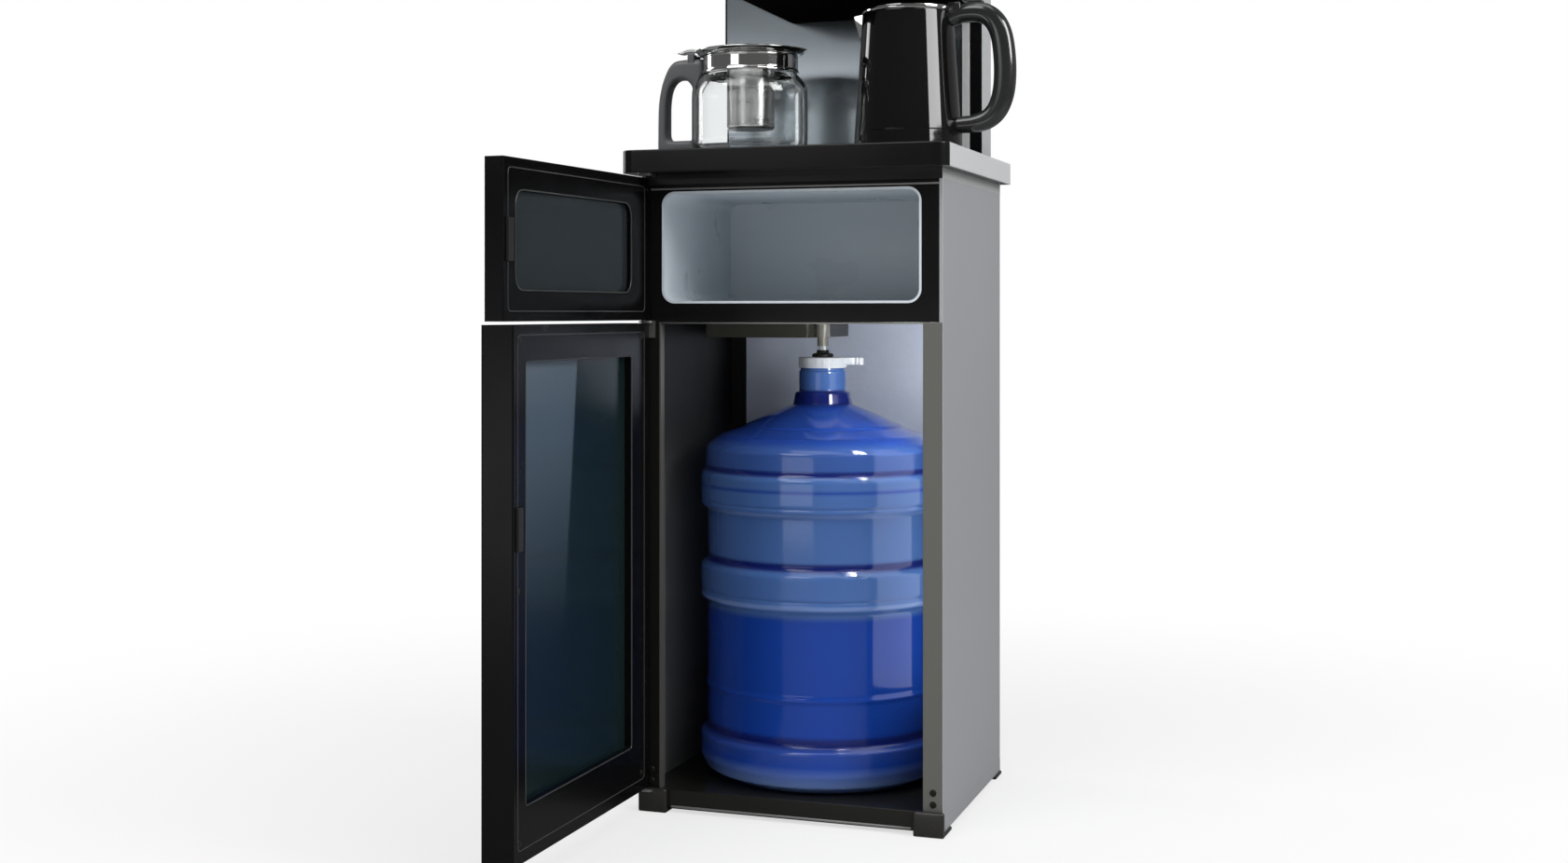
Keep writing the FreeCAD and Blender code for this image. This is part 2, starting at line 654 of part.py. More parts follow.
BOARD_T = 1.6
POST_R = 3.0
POST_IN = 4.0
SWITCH_H = 4.0
SWITCH_HALF = 3.0
PLUNGER_END = HEAD_FRONT + MOULD + RUN + BUTTON_FLANGE + PLUNGER_L
BOARD_Y = PLUNGER_END + BUTTON_TRAVEL + SWITCH_H + 0.2
SUPPLY_X0 = -40.0
SUPPLY_X1 = 60.0
SUPPLY_Z0 = DECK_TOP + 30
SUPPLY_Z1 = DECK_TOP + 110
SUPPLY_STAND = 8.4
SUPPLY_PARTS_H = 14.0


def with_posts(board, x0, x1, z0, z1, y0, y1):
    """Add four posts near a board's corners."""
    for x in (x0 + POST_IN, x1 - POST_IN):
        for z in (z0 + POST_IN, z1 - POST_IN):
            board = board.fuse(bar(V(0, 1, 0), V(x, y0, z), y1 - y0, POST_R))
    return board


def control_board():
    """Circuit board behind the buttons, with a switch for each, on four posts."""
    x0, x1 = LENS_X0 - 30, LENS_X1 + 20
    z0, z1 = BUTTON_Z - 14, LENS_Z1 + 8
    board = box(x0, x1, BOARD_Y, BOARD_Y + BOARD_T, z0, z1)
    for x in BUTTON_X:
        board = board.fuse(box(x - SWITCH_HALF, x + SWITCH_HALF, BOARD_Y - SWITCH_H, BOARD_Y,
                               BUTTON_Z - SWITCH_HALF, BUTTON_Z + SWITCH_HALF))
    return with_posts(board, x0, x1, z0, z1, HEAD_FRONT + MOULD, BOARD_Y).removeSplitter()


def power_board():
    """Supply board standing on posts inside the tower's back."""
    wall = BACK - MOULD
    face = wall - SUPPLY_STAND
    front = face - BOARD_T
    board = box(SUPPLY_X0, SUPPLY_X1, front, face, SUPPLY_Z0, SUPPLY_Z1)
    board = with_posts(board, SUPPLY_X0, SUPPLY_X1, SUPPLY_Z0, SUPPLY_Z1, face, wall)
    transformer = (10, 40, 10, 40)
    capacitor = (50, 74, 14, 44)
    relay = (14, 60, 50, 70)
    for x0, x1, z0, z1 in (transformer, capacitor, relay):
        board = board.fuse(box(SUPPLY_X0 + x0, SUPPLY_X0 + x1, front - SUPPLY_PARTS_H, front,
                               SUPPLY_Z0 + z0, SUPPLY_Z0 + z1))
    return board.removeSplitter()


INLET_RIM = 4.0
INLET_RIM_T = 3.0
INLET_DEEP = 5.0
SOCKET_HALF = 11.0
BLADE_HALF = 2.0
BLADE_PLACES = ((-6, -2), (0, 2), (6, -2))


def mains_inlet():
    """Socket for the lead, let into the back panel, with three blades."""
    y = BACK - SHEET
    half = INLET_W / 2
    middle = INLET_Z + INLET_H / 2
    block = box(INLET_X - half, INLET_X + half, y - INLET_DEEP, y, INLET_Z, INLET_Z + INLET_H)
    rim = box(INLET_X - half - INLET_RIM, INLET_X + half + INLET_RIM, y, y + INLET_RIM_T,
              INLET_Z - INLET_RIM, INLET_Z + INLET_H + INLET_RIM)
    floor = y - INLET_DEEP + 2
    room = box(INLET_X - SOCKET_HALF, INLET_X + SOCKET_HALF, floor, y + INLET_RIM_T,
               middle - SOCKET_HALF / 2, middle + SOCKET_HALF / 2)
    body = block.fuse(rim).removeSplitter().cut(room)
    for dx, dz in BLADE_PLACES:
        x, z = INLET_X + dx, middle + dz
        body = body.fuse(box(x - BLADE_HALF / 2, x + BLADE_HALF / 2, floor, y + 2,
                             z - BLADE_HALF, z + BLADE_HALF))
    return body.removeSplitter()


# ---------------------------------------------------------------- fasteners and hinges
SCREW_R = 3.6
SCREW_T = 1.2
REAR_SCREW_T = 1.6
REAR_SCREW_IN = 40.0    # outermost rear screws from the panel's ends


def cabinet_screws():
    """Heads on the rear flanges and at the foot of the front posts."""
    heads = []
    flange_x = INNER_X - REAR_FLANGE / 2
    for side in (-1, 1):
        middle = (PANEL_FOOT + BODY_TOP) / 2
        for z in (PANEL_FOOT + REAR_SCREW_IN, middle, BODY_TOP - REAR_SCREW_IN):
            heads.append(screw_head(side * flange_x, BACK, z, SCREW_R, REAR_SCREW_T, 1))
    post_x = POST_X + FRONT_FLANGE / 2
    for z in (FOOT_TAB_TOP + 6, FOOT_TAB_TOP + 18):
        for side in (-1, 1):
            heads.append(screw_head(side * post_x, FRONT, z, SCREW_R, SCREW_T, -1))
    return group(heads)


BRACKET_LEG = 16.0
BRACKET_LEG_IN = 4.0    # the leg starts inside the turning door's corner
BRACKET_LEFT = 5.5
BRACKET_RIGHT = 10.5
BRACKET_R = 4.0
HEAD_BRACKET_T = 1.5


def hinge_brackets():
    """Three plates that carry the pins: on the foot, at the split and under the deck."""
    x0 = PIVOT.x - BRACKET_LEFT
    x1 = PIVOT.x + BRACKET_RIGHT
    y0 = PIVOT.y - BRACKET_LEFT
    foot = box(x0, x1, y0, FRONT, FOOT_TOP, FOOT_TOP + BRACKET_T)
    half = BRACKET_T / 2
    split = box(x0 + 1, x1, y0, FRONT, SPLIT_Z - half, SPLIT_Z + half)
    leg = box(x0 + BRACKET_LEG_IN, x1, FRONT - TAB_T, FRONT, SPLIT_Z - half - BRACKET_LEG,
              SPLIT_Z + half)
    split = split.fuse(leg).removeSplitter()
    head = box(x0, x1, y0, FRONT, DECK_Z - HEAD_BRACKET_T, DECK_Z)
    plates = []
    for plate in (foot, split, head):
        rounded = fillet_along(plate, UP, BRACKET_R, lambda e: e.Vertexes[0].Y < PIVOT.y)
        plates.append(rounded.cut(rod(PIVOT.x, PIVOT.y, 0, TOTAL_H, PIN_D / 2)))
    return group(plates)


def hinge_pins():
    """Vertical pins in the brackets."""
    r = PIN_D / 2
    low = rod(PIVOT.x, PIVOT.y, FOOT_TOP, DOOR_FOOT + PIN_REACH, r)
    mid = rod(PIVOT.x, PIVOT.y, LOWER_TOP - PIN_REACH, UPPER_FOOT + PIN_REACH, r)
    top = rod(PIVOT.x, PIVOT.y, UPPER_TOP - PIN_REACH, DECK_Z, r)
    return group([low, mid, top])


# ---------------------------------------------------------------- doors
MAGNET_W = 10.0
MAGNET_H = 40.0
MAGNET_PROUD = DOOR_GAP - SEAT
MAGNET_SUNK = 1.5
MAGNET_X1 = HALF_W - 6.0
DOOR_R = 2.0
LEDGE = 5.0             # pane behind the window's edge
KNUCKLE_R = PIVOT_IN - 0.5
BOSS_R = 4.5
BOSS_HINGE_IN = 22.0
BOSS_FREE_IN = 12.0
BOSS_FOOT_IN = 20.0
BOSS_HEAD_IN = 14.0
DOOR_SCREW_R = 1.5
DOOR_SCREW_L = 10.0
DOOR_SCREW_HEAD_R = 3.0
DOOR_SCREW_HEAD_T = 1.0


class Door:
    """Sizes of one door, closed, before it is swung open."""

    def __init__(self, z0, z1, thick, opened, border, recess, radius, magnet_up):
        self.z0, self.z1, self.opened = z0, z1, opened
        middle = (z0 + z1) / 2 + magnet_up
        self.m0, self.m1 = middle - MAGNET_H / 2, middle + MAGNET_H / 2
        self.recess, self.radius = recess, radius
        hinge_side, free_side, foot, head = border
        self.x0, self.x1 = -HALF_W + hinge_side, HALF_W - free_side
        self.w0, self.w1 = z0 + foot, z1 - head
        self.out = DOOR_IN - thick


LOWER_DOOR = Door(DOOR_FOOT, LOWER_TOP, LOWER_DOOR_T, LOWER_OPEN, (48.0, 26.0, 51.0, 34.0), 8.0,
                  3.0, 60.0)
UPPER_DOOR = Door(UPPER_FOOT, UPPER_TOP, UPPER_DOOR_T, UPPER_OPEN, (46.0, 24.0, 29.0, 29.0), 5.0,
                  12.0, 0.0)


def grown_window(door, grow, y0, y1):
    return window_block(door.x0 - grow, door.x1 + grow, y0, y1, door.w0 - grow, door.w1 + grow,
                        door.radius + grow)


def door_bosses(door):
    """Places of the screws in the inner face."""
    x0, x1 = -HALF_W + BOSS_HINGE_IN, HALF_W - BOSS_FREE_IN
    z0, z1 = door.z0 + BOSS_FOOT_IN, door.z1 - BOSS_HEAD_IN
    return [(x0, z0), (x0, z1), (x1, z0), (x1, z1), (x1, (z0 + z1) / 2)]


def door_frame(door, with_screws):
    """Hollow moulding: walls, inner face with its window, pane seat, hinge and screw bosses."""
    whole = box(-HALF_W, HALF_W, door.out, DOOR_IN, door.z0, door.z1)
    whole = fillet_along(whole, UP, DOOR_R)
    room = box(-HALF_W + DOOR_WALL, HALF_W - DOOR_WALL, door.out, DOOR_IN - DOOR_WALL,
               door.z0 + DOOR_WALL, door.z1 - DOOR_WALL)
    tray = whole.cut(room)
    seat_y = DOOR_IN - door.recess
    back_y = door.out + DOOR_GLASS_T
    surround = grown_window(door, LEDGE + DOOR_WALL, back_y, DOOR_IN - DOOR_WALL)
    knuckle_h = PIN_REACH + 2
    posts = [rod(PIVOT.x, PIVOT.y, z, z + knuckle_h, KNUCKLE_R)
             for z in (door.z0, door.z1 - knuckle_h)]
    if with_screws:
        posts += [bar(V(0, 1, 0), V(x, back_y, z), DOOR_IN - back_y, BOSS_R)
                  for x, z in door_bosses(door)]
    frame = tray.fuse([surround] + posts).removeSplitter()
    frame = frame.cut(box(-HALF_W + DOOR_WALL, HALF_W - DOOR_WALL, door.out - PAST, back_y,
                          door.z0 + DOOR_WALL, door.z1 - DOOR_WALL))
    frame = frame.cut(grown_window(door, LEDGE, back_y - PAST, seat_y))
    frame = frame.cut(grown_window(door, 0, back_y - PAST, DOOR_IN + PAST))
    bore = PIN_D / 2 + PIN_CLEAR
    deep = PIN_REACH + RUN
    frame = frame.cut(rod(PIVOT.x, PIVOT.y, door.z0 - PAST, door.z0 + deep, bore))
    frame = frame.cut(rod(PIVOT.x, PIVOT.y, door.z1 - deep, door.z1 + PAST, bore))
    frame = frame.cut(box(MAGNET_X1 - MAGNET_W, MAGNET_X1, DOOR_IN - MAGNET_SUNK, DOOR_IN + PAST,
                          door.m0, door.m1))
    if with_screws:
        for x, z in door_bosses(door):
            start = V(x, DOOR_IN + PAST, z)
            hole = bar(V(0, -1, 0), start, PAST + DOOR_SCREW_L + 2, DOOR_SCREW_R)
            frame = frame.cut(hole)
    return swing(frame, door.opened)


def door_panel(door):
    """Glossy outer plate, set inside the frame's walls."""
    gap = DOOR_WALL + FIT
    plate = box(-HALF_W + gap, HALF_W - gap, door.out, door.out + DOOR_GLASS_T, door.z0 + gap,
                door.z1 - gap)
    return swing(plate, door.opened)


def door_window(door):
    """Smoked pane behind the window's ledge."""
    seat_y = DOOR_IN - door.recess
    pane = grown_window(door, LEDGE - FIT, seat_y - DOOR_GLASS_T, seat_y)
    return swing(pane, door.opened)


def door_magnet(door):
    """Magnet strip in the free edge of the inner face."""
    strip = box(MAGNET_X1 - MAGNET_W, MAGNET_X1, DOOR_IN - MAGNET_SUNK, DOOR_IN + MAGNET_PROUD,
                door.m0, door.m1)
    return swing(strip, door.opened)


def lower_door_screws():
    """Screws through the inner face into the bosses."""
    screws = []
    for x, z in door_bosses(LOWER_DOOR):
        head = screw_head(x, DOOR_IN, z, DOOR_SCREW_HEAD_R, DOOR_SCREW_HEAD_T, 1)
        shank = bar(V(0, -1, 0), V(x, DOOR_IN, z), DOOR_SCREW_L, DOOR_SCREW_R)
        screws.append(head.fuse(shank).removeSplitter())
    return swing(group(screws), LOWER_OPEN)


# ---------------------------------------------------------------- bottle
SHOULDER_DOWN = 91.0    # from the mouth to the upper end of the ribbed wall
NECK_DOWN = 33.0        # from the mouth to the foot of the neck
GROOVE = 7.5
PUNT_H = 8.0


def bottle_outline(inset):
    """Outline of the bottle, or of its inside when inset by the wall, from the axis up."""
    r = BOTTLE_D / 2
    neck_z = BOTTLE_H - NECK_DOWN
    stretch = (BOTTLE_H - SHOULDER_DOWN) / 362
    wall = [(r - 6, 9), (r, 22), (r, 46), (r - GROOVE, 52), (r - GROOVE, 190), (r, 196), (r, 230),
            (r - GROOVE, 238), (r - GROOVE, 292), (r, 298), (r, 332), (r - 5, 338), (r - 5, 358),
            (r - 10, 362)]
    wall = [(radius, z * stretch) for radius, z in wall]
    shoulder = [(NECK_R + 8.3, neck_z - 15), (NECK_R + 4.8, neck_z - 1)]
    if not inset:
        foot = [(0, PUNT_H), (r - 55, PUNT_H), (r - 40, 0), (r - 24, 0)]
        rim_z = BOTTLE_H - RIM_H
        neck = [(NECK_R, neck_z), (NECK_R, rim_z), (RIM_R, rim_z), (RIM_R, BOTTLE_H)]
        return foot + wall + shoulder + neck
    foot = [(0, PUNT_H + inset), (r - 55, PUNT_H + inset), (r - 40 + inset, inset),
            (r - 24 - inset, inset)]
    inner = [(radius - inset, z) for radius, z in wall + shoulder]
    bore = RIM_R - inset
    return foot + inner + [(bore, neck_z - inset), (bore, BOTTLE_H)]


def bottle():
    """Round water bottle with ribs; hollow, open at the neck."""
    def solid(inset, top_extra):
        points = bottle_outline(inset)
        points = points[:-1] + [(points[-1][0], points[-1][1] + top_extra)]
        points = points + [(0, BOTTLE_H + top_extra)]
        return revolved(points, BOTTLE_X, BOTTLE_Y)

    shell = solid(0, 0).cut(solid(BOTTLE_WALL, PAST))
    shell.translate(V(0, 0, BOTTLE_Z))
    return shell


CAP_SKIRT_R = NECK_R + 0.8
CAP_T = 5.0
CAP_PORT_R = 18.0
TAB_REACH = 47.0
TAB_HALF = 6.0
TAB_THICK = 4.0
TUBE_R = 4.0
TUBE_FOOT = 14.0


def bottle_cap():
    """Cap over the neck with a pull tab and a raised port for the tube."""
    lid_z = CAP_Z + CAP_T
    skirt = rod(BOTTLE_X, BOTTLE_Y, CAP_Z - RIM_H, lid_z, CAP_SKIRT_R)
    port = rod(BOTTLE_X, BOTTLE_Y, lid_z, CAP_Z + CAP_TOP, CAP_PORT_R)
    tab = box(BOTTLE_X + CAP_PORT_R, BOTTLE_X + TAB_REACH, BOTTLE_Y - TAB_HALF,
              BOTTLE_Y + TAB_HALF, lid_z - TAB_THICK, lid_z)
    tab = fillet_along(tab, UP, 4, lambda e: e.Vertexes[0].X > BOTTLE_X + CAP_SKIRT_R)
    cap = skirt.fuse([port, tab]).removeSplitter()
    cap = cap.cut(rod(BOTTLE_X, BOTTLE_Y, CAP_Z - RIM_H - PAST, CAP_Z, RIM_R))
    return cap.cut(rod(BOTTLE_X, BOTTLE_Y, CAP_Z - PAST, CAP_Z + CAP_TOP + PAST, TUBE_R))


def suction_tube():
    """Stiff tube through the cap, down to just above the bottle's foot."""
    top = CAP_Z + CAP_TOP + NIPPLE_H
    low = BOTTLE_Z + TUBE_FOOT
    return rod(BOTTLE_X, BOTTLE_Y, low, top, TUBE_R).cut(
        rod(BOTTLE_X, BOTTLE_Y, low, top, TUBE_R - PIPE_WALL))


# ---------------------------------------------------------------- kettle
KETTLE_Z = DECK_TOP + BASE_H + SEAT
KETTLE_FOOT_H = 14.0
RIM_RING_H = 6.0
RIM_RING_W = 3.5
RIM_Z = KETTLE_TOP - RIM_RING_H
VESSEL_WALL = 1.0
HANDLE_W = 24.0
HANDLE_REACH = KETTLE_BASE_R + 58.5
LID_HINGE_X = KETTLE_X + KETTLE_RIM_R - 1.5
LID_PIN_R = 1.2
EAR_W = 4.0
EAR_FRONT = 2.5         # hinge axis to the front of the ears
EAR_HALF = HANDLE_W / 2 - EAR_W


def kettle_radius(z):
    """Outer radius of the tapered body at a height."""
    share = (z - KETTLE_Z) / (KETTLE_TOP - KETTLE_Z)
    return KETTLE_BASE_R + (KETTLE_RIM_R - 1 - KETTLE_BASE_R) * share


def cone(z0, z1, inset):
    return Part.makeCone(kettle_radius(z0) - inset, kettle_radius(z1) - inset, z1 - z0,
                         V(KETTLE_X, KETTLE_Y, z0))


def kettle_shell():
    """Black outer wall, open above and below."""
    z0 = KETTLE_Z + KETTLE_FOOT_H
    return cone(z0, RIM_Z, 0).cut(cone(z0, RIM_Z, KETTLE_WALL))


def kettle_foot():
    """Foot ring and floor with the socket for the contact."""
    body = cone(KETTLE_Z, KETTLE_Z + KETTLE_FOOT_H, 0)
    socket = rod(KETTLE_X, KETTLE_Y, KETTLE_Z - PAST, KETTLE_Z + CONTACT_H + 2, CONTACT_R + 1)
    return body.cut(socket)


def kettle_vessel():
    """Steel inner vessel, standing on the foot inside the outer wall."""
    z0 = KETTLE_Z + KETTLE_FOOT_H
    room = cone(z0 + VESSEL_WALL, RIM_Z, KETTLE_WALL + VESSEL_WALL)
    return cone(z0, RIM_Z, KETTLE_WALL).cut(room)


def kettle_rim():
    """Bright ring round the mouth, notched for the lid's hinge."""
    ring = rod(KETTLE_X, KETTLE_Y, RIM_Z, KETTLE_TOP, KETTLE_RIM_R)
    ring = ring.cut(rod(KETTLE_X, KETTLE_Y, RIM_Z, KETTLE_TOP, KETTLE_RIM_R - RIM_RING_W))
    return ring.cut(lid_hinge_room())


def lid_hinge_room():
    """Room between the ears for the lid's knuckle."""
    return box(LID_HINGE_X - 6, LID_HINGE_X + 7, KETTLE_Y - EAR_HALF, KETTLE_Y + EAR_HALF,
               RIM_Z + 1, HANDLE_TOP + PAST)


SPOUT_DROP = 36.0
SPOUT_REACH = 13.0
SPOUT_HALF = 14.0
SPOUT_LOW_HALF = 4.0
SPOUT_WALL = 1.2


def spout_wedge(inset):
    """A V-shaped wedge that narrows downward onto the body's wall."""
    low_z = RIM_Z - SPOUT_DROP
    r_top = kettle_radius(RIM_Z)
    inner = r_top - 8

    def corners(tip, half, z):
        points = [V(KETTLE_X - tip, KETTLE_Y, z), V(KETTLE_X - inner, KETTLE_Y + half, z),
                  V(KETTLE_X - inner, KETTLE_Y - half, z)]
        return Part.makePolygon(points + points[:1])

    high = corners(r_top + SPOUT_REACH - inset, SPOUT_HALF - inset, RIM_Z)
    low = corners(kettle_radius(low_z) + 1 - inset, SPOUT_LOW_HALF, low_z)
    return Part.makeLoft([low, high], True, True)


def kettle_spout():
    """Steel pouring lip on the outside of the body."""
    lip = spout_wedge(0).cut(spout_wedge(SPOUT_WALL))
    solids = lip.cut(cone(RIM_Z - SPOUT_DROP - PAST, RIM_Z + PAST, 0)).Solids
    return max(solids, key=lambda s: s.Volume)


HANDLE_TOP = KETTLE_TOP + 3.0
HANDLE_LOW = DECK_TOP + 17.0
LATCH_X = KETTLE_X + KETTLE_RIM_R + 25.5
LATCH_W = 12.0
LATCH_L = 14.0
LATCH_PROUD = 1.5
LATCH_DEEP = 5.0
LATCH_TRAVEL = 1.2


def kettle_handle():
    """D-shaped grip with the lid's pin between two ears, and a pocket for the latch."""
    out = KETTLE_X + HANDLE_REACH
    z_top, z_low = HANDLE_TOP, HANDLE_LOW
    r_top = KETTLE_X + kettle_radius(z_top - 25)
    r_low = KETTLE_X + kettle_radius(z_low)
    outer = [(r_top - 6, z_top), (out - 22, z_top), (out - 6, z_top - 14), (out, z_top - 50),
             (out - 2, z_low + 44), (out - 14, z_low + 16), (out - 34, z_low), (r_low - 6, z_low)]
    inner = [(r_top + 10, z_top - 24), (out - 38, z_top - 24), (out - 25, z_top - 34),
             (out - 20, z_top - 56), (out - 22, z_low + 46), (out - 34, z_low + 28),
             (out - 50, z_low + 20), (r_low + 8, z_low + 18)]
    y0, y1 = KETTLE_Y - HANDLE_W / 2, KETTLE_Y + HANDLE_W / 2
    grip = prism(outer, y0, y1).cut(prism(inner, y0 - PAST, y1 + PAST))
    grip = grip.cut(cone(KETTLE_Z, RIM_Z, 0))
    grip = grip.cut(rod(KETTLE_X, KETTLE_Y, RIM_Z, TOTAL_H, KETTLE_RIM_R))
    ears = []
    for side in (-1, 1):
        a, b = sorted((KETTLE_Y + side * EAR_HALF, KETTLE_Y + side * HANDLE_W / 2))
        ear = box(LID_HINGE_X - EAR_FRONT, LID_HINGE_X + 8, a, b, KETTLE_TOP, HANDLE_TOP)
        ears.append(ear)
    grip = grip.fuse(ears).removeSplitter().cut(lid_hinge_room())
    pocket = box(LATCH_X - LATCH_L / 2 - RUN, LATCH_X + LATCH_L / 2 + RUN,
                 KETTLE_Y - LATCH_W / 2 - RUN, KETTLE_Y + LATCH_W / 2 + RUN,
                 HANDLE_TOP - LATCH_DEEP - RUN - LATCH_TRAVEL, HANDLE_TOP + PAST)
    pin = bar(V(0, 1, 0), V(LID_HINGE_X, y0, LID_AXIS_Z), HANDLE_W, LID_PIN_R)
    return grip.cut(pocket).fuse(pin).removeSplitter()


LID_AXIS_Z = KETTLE_TOP + 1.5
LID_T = 3.0
LID_R = KETTLE_RIM_R - RIM_RING_W - RUN
LID_KNUCKLE_R = 2.6
FILL_HOLE_R = 9.0


def kettle_lid():
    """Flat lid with a filling hole and a knuckle on the hinge side."""
    along = V(0, 1, 0)
    low = KETTLE_TOP - LID_T
    half = EAR_HALF - RUN
    disc = rod(KETTLE_X, KETTLE_Y, low, KETTLE_TOP, LID_R)
    arm = box(KETTLE_X + LID_R - 8, LID_HINGE_X, KETTLE_Y - half, KETTLE_Y + half, low, KETTLE_TOP)
    start = V(LID_HINGE_X, KETTLE_Y - half, LID_AXIS_Z)
    knuckle = bar(along, start, 2 * half, LID_KNUCKLE_R)
    bore = bar(along, start - along * PAST, 2 * (half + PAST), LID_PIN_R + PIN_CLEAR)
    lid = disc.fuse([arm, knuckle]).removeSplitter().cut(bore)
    return lid.cut(rod(KETTLE_X, KETTLE_Y, low - PAST, KETTLE_TOP + PAST, FILL_HOLE_R))


def lid_latch():
    """Thumb button in the top of the kettle's handle."""
    return box(LATCH_X - LATCH_L / 2, LATCH_X + LATCH_L / 2, KETTLE_Y - LATCH_W / 2,
               KETTLE_Y + LATCH_W / 2, HANDLE_TOP - LATCH_DEEP + 1, HANDLE_TOP + LATCH_PROUD)


# ---------------------------------------------------------------- glass pot
POT_Z = PLATE_Z + PLATE_T + SEAT
POT_NECK_Z = POT_TOP - 20
POT_NECK_R = 50.0
COLLAR_BEAD = 1.0
COLLAR_BEAD_H = 3.0
POT_HINGE_Z = POT_TOP + 2.0
POT_HANDLE_W = 22.0
POT_HANDLE_REACH = POT_R + 43.0
POT_EAR_HALF = 7.0
POT_PIN_R = 1.5
POT_KNUCKLE_R = 2.4
LID_BRIM_R = 60.0
POT_HINGE_X = POT_X - LID_BRIM_R - 6
POT_LID_Z = POT_TOP + RUN
LID_DOME_H = 12.0
LID_FLAT = 2.0          # underside over the basket, above the brim's underside
THUMB_REACH = 18.0
THUMB_UP = 4.2          # underside of the thumb tab, above the brim's underside
ARM_UP = 1.7            # underside of the hinge arm, above the brim's underside
BASKET_R = 26.0
BASKET_WALL = 1.0
BASKET_H = 82.0


def pot_profile(inset):
    """Outline of the glass body, or of its inside, up to the foot of the neck."""
    r = POT_R - inset
    neck = POT_NECK_R - inset
    z0 = POT_Z + inset
    return [(0, z0), (r - 7, z0), (r - 2, z0 + 4), (r, z0 + 12), (r, POT_NECK_Z - 18),
            (r - 3, POT_NECK_Z - 9), (neck + 3, POT_NECK_Z - 2), (neck, POT_NECK_Z + 1)]


def pot_glass():
    """Round glass body with a drawn-in neck."""
    top = POT_TOP - 1
    return pot_solid(0, top).cut(pot_solid(POT_WALL, top + PAST))


def pot_solid(inset, top):
    neck = [(POT_NECK_R - inset, top), (0, top)]
    return revolved(pot_profile(inset) + neck, POT_X, POT_Y)


def pot_collar():
    """Steel band round the neck."""
    return collar_solid(POT_TOP).cut(rod(POT_X, POT_Y, POT_NECK_Z, POT_TOP + PAST, POT_NECK_R))


def collar_solid(top):
    """The band with the bead at its foot, before the neck is taken out."""
    low = POT_NECK_Z + 1
    band = rod(POT_X, POT_Y, low, top, POT_COLLAR_R)
    bead = rod(POT_X, POT_Y, low, low + COLLAR_BEAD_H, POT_COLLAR_R + COLLAR_BEAD)
    return band.fuse(bead).removeSplitter()


def pot_handle():
    """Grip from the collar down to the foot, with the lid's pin between two ears."""
    left = POT_X - POT_HANDLE_REACH
    low = POT_Z + 2
    top = POT_TOP
    at_collar = POT_X - POT_COLLAR_R
    at_glass = POT_X - POT_R
    outer = [(at_collar + 4, top), (POT_HINGE_X - 6, top), (left + 16, top - 1),
             (left + 6, top - 22), (left, low + 44), (left - 0.5, low), (at_glass + 4, low)]
    inner = [(at_glass - 2.5, POT_NECK_Z - 12), (left + 34, top - 23), (left + 21, top - 22),
             (left + 13, top - 31), (left + 10, low + 58), (left + 10, low + 20),
             (left + 13, low + 15), (at_glass - 2.5, low + 15)]
    y0, y1 = POT_Y - POT_HANDLE_W / 2, POT_Y + POT_HANDLE_W / 2
    grip = prism(outer, y0, y1).cut(prism(inner, y0 - PAST, y1 + PAST))
    grip = grip.cut(pot_solid(0, top)).cut(collar_solid(top + PAST))
    grip = max(grip.Solids, key=lambda s: s.Volume)
    for side in (-1, 1):
        a, b = sorted((POT_Y + side * POT_EAR_HALF, POT_Y + side * POT_HANDLE_W / 2))
        grip = grip.fuse(box(POT_HINGE_X - 4, POT_HINGE_X + 4, a, b, top, POT_HINGE_Z + 4))
    pin = bar(V(0, 1, 0), V(POT_HINGE_X, y0, POT_HINGE_Z), POT_HANDLE_W, POT_PIN_R)
    return grip.fuse(pin).removeSplitter()


def pot_lid():
    """Steel lid with a wide brim, a low dome, a hinge arm and a thumb tab."""
    z0 = POT_LID_Z
    under = [(0, LID_FLAT), (BASKET_R + 4, LID_FLAT), (POT_COLLAR_R - 3, 0), (POT_COLLAR_R + 1, 0)]
    brim = [(LID_BRIM_R, 3.5), (LID_BRIM_R - 1, 5), (POT_COLLAR_R, 5.5)]
    dome = [(POT_COLLAR_R - 6, 8), (20, LID_DOME_H), (0, LID_DOME_H)]
    lid = revolved([(r, z0 + z) for r, z in under + brim + dome], POT_X, POT_Y)
    half = POT_EAR_HALF - RUN
    arm = box(POT_HINGE_X - POT_KNUCKLE_R, POT_X - POT_COLLAR_R + 8, POT_Y - half, POT_Y + half,
              z0 + ARM_UP, z0 + ARM_UP + LID_T)
    thumb = box(POT_HINGE_X - THUMB_REACH, POT_HINGE_X + POT_KNUCKLE_R, POT_Y - half,
                POT_Y + half, z0 + THUMB_UP, z0 + THUMB_UP + LID_T)
    along = V(0, 1, 0)
    start = V(POT_HINGE_X, POT_Y - half, POT_HINGE_Z)
    knuckle = bar(along, start + UP, 2 * half, POT_KNUCKLE_R)
    bore = bar(along, start - along * PAST, 2 * (half + PAST), POT_PIN_R + PIN_CLEAR)
    return lid.fuse([arm, thumb, knuckle]).removeSplitter().cut(bore)


def pot_basket():
    """Steel infuser that hangs from the lid."""
    z1 = POT_LID_Z + LID_FLAT
    z0 = z1 - BASKET_H
    room = rod(POT_X, POT_Y, z0 + BASKET_WALL, z1 + PAST, BASKET_R - BASKET_WALL)
    return rod(POT_X, POT_Y, z0, z1, BASKET_R).cut(room)


